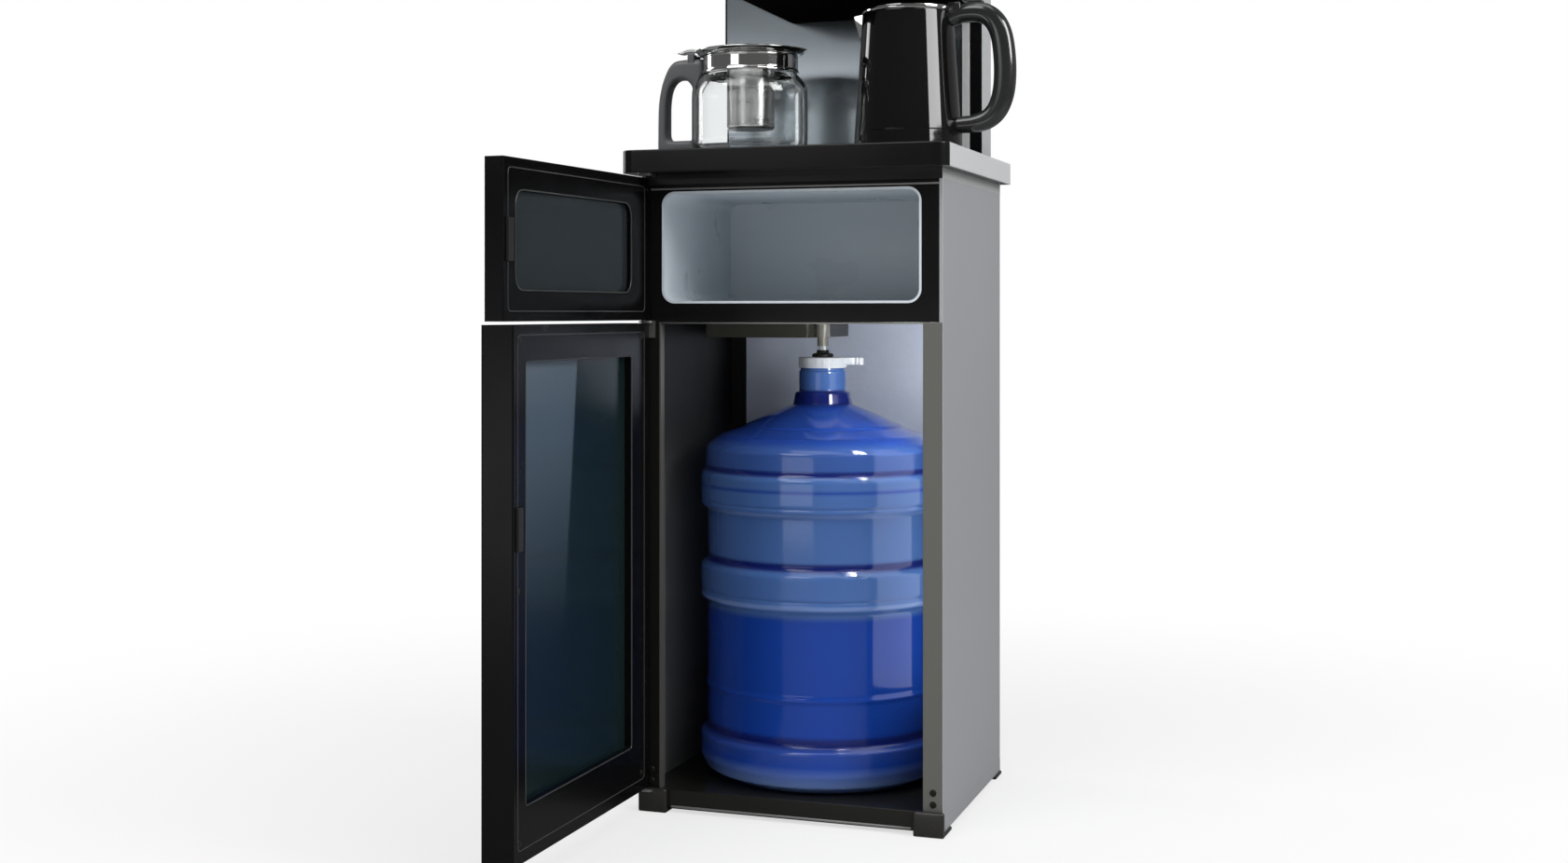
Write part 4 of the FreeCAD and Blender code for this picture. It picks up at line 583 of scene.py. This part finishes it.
def rounded_box(x0, x1, y0, y1, z0, z1, r, parts=3):
    """A box with rounded edges, as rings along Z."""
    rings = []
    profile = []
    for k in range(parts + 1):
        t = math.pi / 2 * k / parts
        profile.append((r * (1 - math.sin(t)), z0 + r * (1 - math.cos(t))))
    profile += [(inset, z0 + z1 - z) for inset, z in reversed(profile)]
    for inset, z in profile:
        ring = []
        corners = ((x1, y1, 0), (x0, y1, 1), (x0, y0, 2), (x1, y0, 3))
        size = max(r - inset, 0.02)
        for cx, cy, quarter in corners:
            mx = cx - r if cx == x1 else cx + r
            my = cy - r if cy == y1 else cy + r
            for k in range(parts + 1):
                t = math.pi / 2 * (quarter + k / parts)
                ring.append((mx + size * math.cos(t), my + size * math.sin(t), z))
        rings.append(ring)
    return loft(rings)


def catmull(points, parts):
    """A smooth line through the points, each a tuple of any length."""
    made = []
    ends = [points[0], *points, points[-1]]
    for a, b, c, d in zip(ends, ends[1:], ends[2:], ends[3:]):
        for k in range(parts):
            t = k / parts
            made.append(tuple(
                0.5 * (2 * q + (r - p) * t + (2 * p - 5 * q + 4 * r - s) * t * t
                       + (3 * q - p - 3 * r + s) * t ** 3)
                for p, q, r, s in zip(a, b, c, d)))
    made.append(tuple(points[-1]))
    return made


def limb(points, y, half_y, power=2.8, parts=6, steps=28):
    """A grip in the plane of Y: points are (x, z, half thickness), half_y its half width."""
    line = catmull(points, parts)
    section = oval(power, steps)
    rings = []
    for i, (x, z, half) in enumerate(line):
        ahead = line[min(i + 1, len(line) - 1)]
        behind = line[max(i - 1, 0)]
        along = Vector((ahead[0] - behind[0], ahead[1] - behind[1])).normalized()
        side = Vector((-along.y, along.x))
        rings.append([(x + side.x * half * u, y + half_y * v, z + side.y * half * u)
                      for u, v in section])
    return loft(rings)


def cut(obj, *shapes):
    """Takes solids out of a piece and keeps the result as its mesh."""
    for shape in shapes:
        tool = bpy.data.objects.new("cutter", mesh_of("cutter", *shape))
        bpy.context.scene.collection.objects.link(tool)
        modifier = obj.modifiers.new("cut", "BOOLEAN")
        modifier.operation = "DIFFERENCE"
        modifier.solver = "EXACT"
        modifier.object = tool
        bpy.context.view_layer.update()
        result = bpy.data.meshes.new_from_object(
            obj.evaluated_get(bpy.context.evaluated_depsgraph_get()))
        obj.modifiers.remove(modifier)
        result.name = obj.name
        obj.data = result
        tool_mesh = tool.data
        bpy.data.objects.remove(tool)
        bpy.data.meshes.remove(tool_mesh)
    for polygon in obj.data.polygons:
        polygon.use_smooth = True
    obj.data.set_sharp_from_angle(angle=math.radians(SHARP_ANGLE))


# ------------------------------------------------------------ bottle and its cap
def banded(made, low, high, stops):
    """Multiplies the colour by a shade that changes with height; stops are (z, share), mm."""
    tree = made.node_tree
    ramp = tree.nodes.new("ShaderNodeValToRGB")
    points = ramp.color_ramp.elements
    while len(points) < len(stops):
        points.new(0.5)
    for point, (z, _) in zip(points, stops):
        point.position = (z - low) / (high - low)
    for point, (_, share) in zip(points, stops):        # after the points have their order
        point.color = (*share, 1)
    tree.links.new(ranged(tree, place(tree)["Z"], (low * MM, high * MM), (0.0, 1.0),
                          smooth=False), ramp.inputs["Fac"])
    socket = tree.nodes["Principled BSDF"].inputs["Base Color"]
    tree.links.new(mixed(tree, "RGBA", 1.0, socket.links[0].from_socket, ramp.outputs["Color"],
                         "MULTIPLY"), socket)


# Shares of the bottle's colour. Glint stops are painted highlights: thin light lines at the bands'
# lower edges and above the foot. Deep stops darken the grooves and the neck's collar, partly the
# plastic's own deeper blue and partly painted shade. A colour ramp takes 32 stops, which are all
# used.
DEEP_AND_SHADE, CLEAR = (0.25, 0.22, 0.45), (1.0, 1.0, 1.0)
PALE, MILD, SOFT = (2.45, 2.05, 1.13), (0.7, 0.85, 0.95), (1.6, 1.45, 1.0)
LOW = (0.34, 0.78, 1.05)
PAINTED_GLINT = (6.0, 3.6, 1.5)
banded(LOOKS["bottle_blue"], 24, 480,
       [(34, PAINTED_GLINT), (56, LOW), (72, CLEAR), (77, DEEP_AND_SHADE), (82, DEEP_AND_SHADE), (87, LOW), (207, LOW),
        (213, PALE), (218, PALE), (220, PAINTED_GLINT), (223, PAINTED_GLINT), (225, PALE), (258, PALE),
        (261, DEEP_AND_SHADE), (266, DEEP_AND_SHADE), (269, PALE), (315, PALE), (318, PAINTED_GLINT), (321, PALE), (340, PALE),
        (343, MILD), (346, PALE), (357, PALE), (360, DEEP_AND_SHADE), (363, DEEP_AND_SHADE), (366, SOFT), (388, SOFT),
        (394, MILD), (427, MILD), (431, DEEP_AND_SHADE), (445, DEEP_AND_SHADE), (447, PALE)])
BX, BY, BZ = -5.0, -3.0, 24.3
BOTTLE_R = 135.0
NECK_OUT = 26.2
BOTTLE_T = 1.6          # wall


def bottle_line(inset):
    """Outline of the wall from foot to neck, as (r, z) over the bottle's foot."""
    r = BOTTLE_R
    wall = [(r - 6, 9), (r, 22), (r, 46), (r - 7.5, 52), (r - 7.5, 96), (r - 6, 99), (r - 6, 101),
            (r - 7.5, 104), (r - 7.5, 190), (r, 196), (r, 202), (r - 1.2, 204), (r, 206),
            (r, 230), (r - 7.5, 238), (r - 7.5, 292), (r - 1, 296), (r, 299), (r - 1.5, 301),
            (r, 303), (r, 330), (r - 5, 337), (r - 5, 358), (r - 10, 364)]
    wall += [(112, 373), (88, 381.2), (86, 383.4), (60, 395)]
    wall += [(NECK_OUT + more, z) for more, z in ((9, 404.8), (6.6, 406.0), (4.0, 419.6),
                                                  (0, 420.2), (0, 443))]
    return [(radius - inset, z) for radius, z in wall]


foot = [(0, 8), (80, 8), (95, 0.2), (111, 0.2)]
foot_inside = [(0, 9.6), (80, 9.6), (96, 1.8), (110, 1.8)]
outer = soften(foot + bottle_line(0) + [(24.8, 443.2), (24.8, 453)], 2.0, parts=3)
inner = soften(foot_inside + bottle_line(BOTTLE_T) + [(23.2, 453)], 2.0, parts=3)
shell = [(r, z + BZ) for r, z in outer + inner[::-1]]
piece("bottle_body", lathe(shell, BX, BY, 160), "bottle_unit", "bottle_blue", ["bottle"])


def cap_ripple(r, z, angle):
    """Grip ribs round the cap's skirt."""
    on_skirt = 471 < z < 480.5 and r > 25.5
    return r - 0.5 * (0.5 - 0.5 * math.cos(72 * angle)) if on_skirt else r


skirt = soften([(24.9, 470.6), (27, 470.6), (27, 480.6), (26.4, 482.2), (18, 482.3), (4.2, 482.3),
                (4.2, 477.6), (24.9, 477.6)], 0.6, loop=True, parts=3)
port = soften([(4.2, 482.3), (11.6, 482.3), (12, 484.6), (11.4, 486.0), (9, 486.6), (7, 486.9),
               (6.4, 490.2), (4.2, 490.2)], 0.5, loop=True, parts=3)
tab = [(16, -9.0), (30, -9.0), (33, -7.5), (35, -8.6), (37, -6.5), (39, -7.2), (42, -3.0),
       (38, 1.6), (34, 3.0), (16, 3.0)]
tab_rings = []
middle = Vector((28, -3))
for inset, z in ((0.6, 474.2), (0, 474.8), (0, 481.4), (0.6, 482.0)):
    tab_rings.append([(*(middle + (Vector(p) - middle) * (1 - inset / 12)), z) for p in tab])
cap_mesh = joined(lathe(skirt, BX, BY, 216, loop=True, ripple=cap_ripple), loft(tab_rings))
piece("bottle_cap_body", cap_mesh, "bottle_unit", "white_plastic", ["bottle_cap"], angle=30)
piece("bottle_port", lathe(port, BX, BY, 96, loop=True), "bottle_unit", "dark_parts")


# ------------------------------------------------------------ foil in the bottle bay
def foil():
    """Crinkled foil glued on the board at the back of the bay."""
    rng = random.Random(7)
    x0, x1, z0, z1, y = -141.5, 147.5, 25.0, 519.0, 135.2
    highest, deepest = 134.3, 135.85
    cols, rows = 150, 250
    bumps = [(rng.uniform(x0, x1), rng.uniform(z0, z1), rng.uniform(6, 26), rng.uniform(-0.5, 0.5),
              rng.uniform(0, math.pi)) for _ in range(260)]
    verts = [[x0 + (x1 - x0) * i / cols, y, z0 + (z1 - z0) * j / rows]
             for j in range(rows + 1) for i in range(cols + 1)]

    def cells(middle, reach, start, end, count):
        low, high = (int((middle + way * reach - start) / (end - start) * count)
                     for way in (-1, 1))
        return range(max(0, low), min(count, high + 1) + 1)

    for bx, bz, size, lift, turn in bumps:
        c, s = math.cos(turn), math.sin(turn)
        for j in cells(bz, 2.2 * size, z0, z1, rows):
            for i in cells(bx, 2.2 * size, x0, x1, cols):
                v = verts[j * (cols + 1) + i]
                u = ((v[0] - bx) * c + (v[2] - bz) * s) / size
                w = (-(v[0] - bx) * s + (v[2] - bz) * c) / (0.35 * size)
                v[1] += lift * math.exp(-u * u - abs(w))
    for v in verts:
        v[1] = min(deepest, max(highest, v[1]))
    faces = []
    for j in range(rows):
        for i in range(cols):
            a = j * (cols + 1) + i
            faces.append((a, a + 1, a + cols + 2, a + cols + 1))
    return [tuple(v) for v in verts], faces


piece("bay_foil", foil(), "cabinet", "foil_board", angle=80)
dress("bay_back_wall", LOOKS["dark_parts"])


# ------------------------------------------------------------ kettle
KX, KY = 106.0, -60.0
KETTLE_FOOT, KETTLE_H = 708.3, 146.7
KETTLE_R, KETTLE_TAPER = 57.5, 10.0     # radius at the foot, and how much less it is at the top
WALL_LOW, WALL_TOP, WALL_T = 722.4, 849.0, 2.9


def kettle_r(z):
    return KETTLE_R - KETTLE_TAPER * (z - KETTLE_FOOT) / KETTLE_H


wall = [(kettle_r(WALL_LOW), WALL_LOW), (kettle_r(WALL_TOP), WALL_TOP),
        (kettle_r(WALL_TOP) - WALL_T, WALL_TOP), (kettle_r(WALL_LOW) - WALL_T, WALL_LOW)]
piece("kettle_body", lathe(soften(wall, 0.5, loop=True, parts=2), KX, KY, 180, loop=True),
      "kettle", "kettle_black", ["kettle_shell"])


def rim_ring():
    """Bright bead round the mouth, open where the lid's hinge passes."""
    section = [(48.5, 850.2), (48.5, 853.6), (47.2, 855.0), (45.6, 855.0), (45.1, 854.3),
               (45.1, 849.2), (47.8, 849.1)]
    section = soften(section, 0.8, loop=True, parts=3)
    first = math.radians(10.6)
    steps = 150
    rings = []
    for i in range(steps + 1):
        angle = first + (2 * math.pi - 2 * first) * i / steps
        rings.append([(KX + r * math.cos(angle), KY + r * math.sin(angle), z)
                      for r, z in section])
    return loft(rings)


piece("kettle_rim_ring", rim_ring(), "kettle", "polished_steel", ["kettle_rim"])


def spout():
    """Bent steel lip: V sections that widen upward, with a rounded nose."""
    rings = []
    layers = 12
    low, tall, thick = 813.4, 35.3, 1.1
    for k in range(layers + 1):
        t = k / layers
        z = low + tall * t
        base = kettle_r(z)
        reach = 1.2 + 12.2 * t ** 1.15
        half = 4.0 + 10.0 * t
        inset = math.sqrt(max(base * base - half * half, 0)) + 0.3
        nose = base + reach
        outside = soften([(-inset, half), (-nose, 0), (-inset, -half)], 5.0, parts=6)
        inside = [(x + thick, y * (1 - thick / (half + 3))) for x, y in outside][::-1]
        rings.append([(KX + x, KY + y, z) for x, y in outside + inside])
    return loft(rings)


piece("kettle_lip", spout(), "kettle", "polished_steel", ["kettle_spout"])


KETTLE_GRIP = [(152.2, 841.0, 7.5), (163, 846.2, 9.6), (176, 847.6, 10.2), (189, 845.6, 10.8),
               (199.5, 837.5, 11.2), (206.3, 823.5, 11.3), (209.6, 803.5, 11.4),
               (210.4, 781, 11.4), (208.4, 761, 11.2), (202.2, 744.6, 10.6), (192, 734.8, 10.0),
               (179, 730.6, 9.4), (167, 729.6, 8.8), (160.2, 729.2, 8.4)]
ear_front = rounded_box(150.6, 165, -71.8, -68.1, 846, 857.9, 1.2)
ear_back = rounded_box(150.6, 165, -51.9, -48.2, 846, 857.9, 1.2)
grip = piece("kettle_grip", limb(KETTLE_GRIP, KY, 11.9, power=2.7, parts=7, steps=36),
             "kettle", "grip_plastic", ["kettle_handle"])
piece("kettle_ears", joined(ear_front, ear_back), "kettle", "grip_plastic")
cut(grip, rounded_box(140, 162.6, -67.9, -52.1, 850.2, 870, 0.8),
    rounded_box(172.7, 187.3, -66.3, -53.7, 851.5, 866, 0.6),
    lathe([(0, 700), (kettle_r(700), 700), (kettle_r(WALL_TOP), WALL_TOP), (48.6, WALL_TOP),
           (48.6, 870), (0, 870)], KX, KY, 128))


# ------------------------------------------------------------ glass pot
PX, PY = -69.0, -64.0
glass_out = [(0, 704.4), (55.5, 704.4), (60.5, 708.3), (62.5, 716.3), (62.5, 773), (59.5, 782),
             (53, 789), (50, 792), (50, 809.8)]
glass_in = [(0, 707.4), (53.5, 707.4), (58, 711), (60, 717.5), (60, 772.5), (57, 780.5),
            (50.6, 787.6), (47.6, 791.4), (47.6, 809.8)]
glass_line = soften(glass_out, 5.0, parts=6) + soften(glass_in, 5.0, parts=6)[::-1]
piece("pot_glass_body", lathe(glass_line, PX, PY, 160), "pot", "clear_glass", ["pot_glass"])

band = [(50.1, 792.1), (52.4, 792.1), (53.0, 793.2), (52.6, 795), (51.6, 795.8), (51.6, 808.6),
        (52.1, 809.6), (51.6, 810.9), (50.1, 810.9)]
piece("pot_band", lathe(soften(band, 0.5, loop=True, parts=3), PX, PY, 160, loop=True), "pot",
      "polished_steel", ["pot_collar"])


def brim_ripple(r, z, angle):
    """Draws the brim out into a small pouring lip on the side away from the handle."""
    start, brim, reach, width = 50, 10, 3.6, 0.16
    if r < start:
        return r
    return r + reach * ((r - start) / brim) * math.exp(-(math.sin(angle / 2) / width) ** 2)


lid_line = [(0, 813.4), (30, 813.4), (49, 811.5), (53.0, 811.5), (56.5, 813.0), (59.2, 815.4),
            (60.0, 816.6), (59.4, 817.4), (58.2, 817.0), (55, 815.9), (50, 816.4), (46.5, 818.6),
            (36, 821.2), (20, 822.8), (0, 823.2)]
hinge_arm = rounded_box(-137, -118, -70.6, -57.4, 812.8, 815.8, 0.8)
KNUCKLE_R = 2.35
knuckle = loft([[(-135 + KNUCKLE_R * u, y, 814.2 + KNUCKLE_R * v) for u, v in oval(2.0, 24)]
                for y in (-70.6, -57.4)])
thumb_line = [(-128, 818.6, 1.6), (-134, 820.2, 1.9), (-141, 820.0, 1.9), (-147, 818.2, 1.7),
              (-152.4, 818.6, 1.1)]
lid_mesh = joined(lathe(soften(lid_line, 1.6, parts=3), PX, PY, 160, ripple=brim_ripple),
                  hinge_arm, knuckle, limb(thumb_line, PY, 6.4, power=3.2, parts=5, steps=20))
piece("pot_lid_body", lid_mesh, "pot_lid_unit", "polished_steel", ["pot_lid"])

basket = [(0, 731.4), (24.2, 731.4), (26, 733.2), (26, 813.2), (25.0, 813.2), (25.0, 733.6),
          (23.6, 732.4), (0, 732.4)]
basket_look = finish("basket_look", (0.86, 0.86, 0.85), 0.30, metal=1.0, vary=0.03,
                     grain=0.00001, grain_size=300, stretch=(1, 1, 14))
piece("pot_infuser", lathe(soften(basket, 0.6, parts=2), PX, PY, 96), "pot_lid_unit",
      "plain_steel", ["pot_basket"], look=basket_look)


def ring_points(line, centre, count):
    """Where rays from the centre, at equal turns, cross a closed line."""
    made = []
    size = len(line)
    for k in range(count):
        angle = 2 * math.pi * k / count
        ray = Vector((math.cos(angle), math.sin(angle)))
        best = None
        for i in range(size):
            a = Vector(line[i]) - centre
            b = Vector(line[(i + 1) % size]) - centre
            span = b - a
            bottom = ray.x * span.y - ray.y * span.x
            if abs(bottom) < 1e-12:
                continue
            reach = (a.x * span.y - a.y * span.x) / bottom
            share = (a.x * ray.y - a.y * ray.x) / bottom
            if reach > 0 and -1e-9 <= share <= 1 + 1e-9:
                best = max(best or 0, reach)
        made.append(centre + ray * best)
    return made


def pot_grip():
    """D-shaped grip: sections between its outline and the outline of its opening."""
    outer = [(-121.2, 810.8), (-141, 810.8), (-158.5, 809.4), (-168.3, 790), (-173.4, 768),
             (-174.4, 750), (-174.8, 706.6), (-131.2, 706.6), (-131.6, 713), (-131.6, 770),
             (-129.2, 781), (-121.2, 796)]
    inner = [(-134.2, 779), (-140.5, 788.2), (-153.0, 789), (-161.5, 780), (-164.4, 764),
             (-164.4, 727), (-161, 721.4), (-134.2, 721.4)]
    centre = Vector((-150, 752))
    count = 200
    reach = [3, 3, 12, 16, 16, 14, 7, 2, 2, 6, 3, 3]
    far = ring_points(soften(outer, reach, loop=True, parts=6), centre, count)
    close = ring_points(soften(inner, [3, 7, 7, 9, 9, 5, 5, 2], loop=True, parts=6), centre,
                        count)
    section = oval(4.0, 28)
    rings = []
    for a, b in zip(far, close):
        middle, half = (a + b) / 2, (a - b) / 2
        rings.append([(middle.x + half.x * u, PY + 10.9 * v, middle.y + half.y * u)
                      for u, v in section])
    return loft(rings, closed=True)


pot_grip_look = finish("pot_grip_look", (0.105, 0.108, 0.112), 0.34, vary=0.05, grain=0.00003,
                       grain_size=1500)
piece("pot_grip_body", joined(pot_grip(), rounded_box(-139, -131, -74.8, -71.1, 806, 817, 1.0),
                              rounded_box(-139, -131, -56.9, -53.2, 806, 817, 1.0)),
      "pot", "grip_plastic", ["pot_handle"], look=pot_grip_look)


# ------------------------------------------------------------ screws
def screw(x, y, z, axis, r, tall):
    """Pan head with a cross recess. axis is the way that it faces: "+Y", "-Y" or "+X"."""
    steps, rings = 40, 10
    verts = [(0.0, 0.0, tall * 0.45)]
    for k in range(1, rings + 1):
        share = k / rings
        for i in range(steps):
            angle = 2 * math.pi * (i + 0.5) / steps
            u, v = r * share * math.cos(angle), r * share * math.sin(angle)
            high = tall * (1 - 0.55 * share ** 3) if share < 1 else 0
            near = min(abs(u), abs(v))
            if share < 0.72 and near < 0.13 * r:
                high = tall * 0.35
            verts.append((u, v, high))
    faces = [(0, 1 + (i + 1) % steps, 1 + i) for i in range(steps)]
    for k in range(rings - 1):
        a, b = 1 + k * steps, 1 + (k + 1) * steps
        faces += [(a + i, a + (i + 1) % steps, b + (i + 1) % steps, b + i) for i in range(steps)]
    faces.append(tuple(1 + (rings - 1) * steps + i for i in range(steps)))
    turn = {"+Y": lambda u, v, w: (x + u, y + w, z + v),
            "-Y": lambda u, v, w: (x - u, y - w, z + v),
            "+X": lambda u, v, w: (x + w, y + u, z + v)}[axis]
    return [turn(*p) for p in verts], faces


front = [screw(sx * 153.5, -145.0, z, "-Y", 3.6, 1.2) for sx in (-1, 1) for z in (32, 44)]
rear = [screw(sx * 155.5, 145.0, z, "+Y", 3.6, 1.6) for sx in (-1, 1) for z in (58, 343, 628)]
screw_look = finish("screw_look", (0.42, 0.42, 0.40), 0.36, metal=0.9, vary=0.1, vary_size=40)
zone(screw_look, [("Y", -1, 0.0)], (0.025, 0.025, 0.023), 0.3, 0.6)
piece("cabinet_screw_heads", joined(*front, *rear), "cabinet", "zinc_steel", ["cabinet_screws"],
      look=screw_look)
door_screws = [screw(x, y, z, "+X", 3, 1.0)
               for x, y, heights in ((-155.15, -170.0, (46, 506.5)),
                                     (-157.7, -464.0, (46, 506.5, 276.2)))
               for z in heights]
piece("door_screw_heads", joined(*door_screws), "lower_door", "zinc_steel",
      ["lower_door_screws"], look=screw_look)


# ------------------------------------------------------------ beads, feet and small trim
def tube(path, radius, steps=12):
    """A round bead along a closed loop of points in space."""
    count = len(path)
    rings = []
    for i, point in enumerate(path):
        along = (Vector(path[(i + 1) % count]) - Vector(path[i - 1])).normalized()
        side = along.cross(Vector((1, 0, 0)) if abs(along.x) < 0.8 else Vector((0, 1, 0)))
        side.normalize()
        up = along.cross(side)
        rings.append([tuple(Vector(point) + side * (radius * math.cos(2 * math.pi * k / steps))
                            + up * (radius * math.sin(2 * math.pi * k / steps)))
                      for k in range(steps)])
    return loft(rings, closed=True)


DOOR_X, DOOR_Y = -155.0, -152.5         # hinge side of the open doors' inner faces
UPPER_SLOPE, LOWER_SLOPE = 0.04016, 0.00873     # how far past square they stand, as a tangent


def door_bead(slope, y0, y1, z0, z1, corner, radius, sunk=0.3):
    """Bead round a rectangle on the inner face of an open door."""
    flat = soften([(y0, z0), (y1, z0), (y1, z1), (y0, z1)], corner, loop=True, parts=6)
    return tube([(DOOR_X + slope * (y - DOOR_Y) - sunk, y, z) for y, z in flat], radius)


bead_look = finish("bead_look", (0.042, 0.042, 0.040), 0.18, spec=0.45, vary=0.1)
piece("upper_door_beads",
      joined(door_bead(UPPER_SLOPE, -194, -452, 552.5, 646, 17, 0.8),
             door_bead(UPPER_SLOPE, -160, -466.5, 533, 665.6, 6, 0.7)),
      "upper_door", "black_plastic", look=bead_look)
piece("lower_door_beads",
      joined(door_bead(LOWER_SLOPE, -196, -450, 77, 486.5, 5, 0.8),
             door_bead(LOWER_SLOPE, -162, -466.5, 38.5, 511, 6, 0.7)),
      "lower_door", "black_plastic", look=bead_look)

PANEL_Y = -132.45
BUTTONS = (-10.0, 40.5, 91.0)
BUTTON_Z, RING_R = 900, 9.4


def on_face(path, radius=0.4):
    """Bead along (x, z) points on the control panel's face."""
    return tube([(x, PANEL_Y, z) for x, z in path], radius)


rings = [on_face([(x + RING_R * u, BUTTON_Z + RING_R * v) for u, v in oval(2.0, 60)])
         for x in BUTTONS]
frame_line = soften([(-14, 926), (95, 926), (95, 979), (-14, 979)], 5, loop=True, parts=6)
piece("panel_rings", joined(*rings, on_face(frame_line)), "cabinet", "trim_aluminium")
lamps = [loft([[(x + r * u, y, 914.5 + r * v) for u, v in oval(2.0, 24)]
               for r, y in ((1.5, -132.3), (1.5, -132.8), (1.1, -133.1))]) for x in BUTTONS]
piece("panel_lamps", joined(*lamps), "cabinet", "white_plastic")
piece("display_glass", rounded_box(-9.7, 90.7, -132.4, -131.8, 930.3, 974.7, 0.2), "cabinet",
      "smoked_glass")

# Light grey of the sheet's folded edge; on the tray bead it is a painted highlight.
fold_and_glint_look = finish("fold_and_glint_look", (0.24, 0.24, 0.235), 0.4, metal=0.4, vary=0.05)
piece("fascia_bead", rounded_box(-154, 159.6, -145.9, -144.2, 662.3, 664.4, 0.7), "cabinet",
      "grey_steel", look=fold_and_glint_look)
# Painted highlight: a light bead along the tray's lower front edge.
piece("tray_bead", rounded_box(-131, 131, -146.2, -144.2, 5.0, 7.4, 0.8), "cabinet",
      "grey_steel", look=fold_and_glint_look)
feet = []
for side in (-1, 1):
    x0, x1 = sorted((side * 134.2, side * 166))
    feet.append(rounded_box(x0, x1, -153, -145.15, 0, 25.5, 2.6, parts=4))
    feet.append(rounded_box(x0, x1, -152, -113, 0, 4.05, 1.5))
    feet.append(rounded_box(x0, x1, 113, 145, 0, 4.05, 1.5))
piece("foot_blocks", joined(*feet), "cabinet", "foot_plastic", ["corner_feet"])
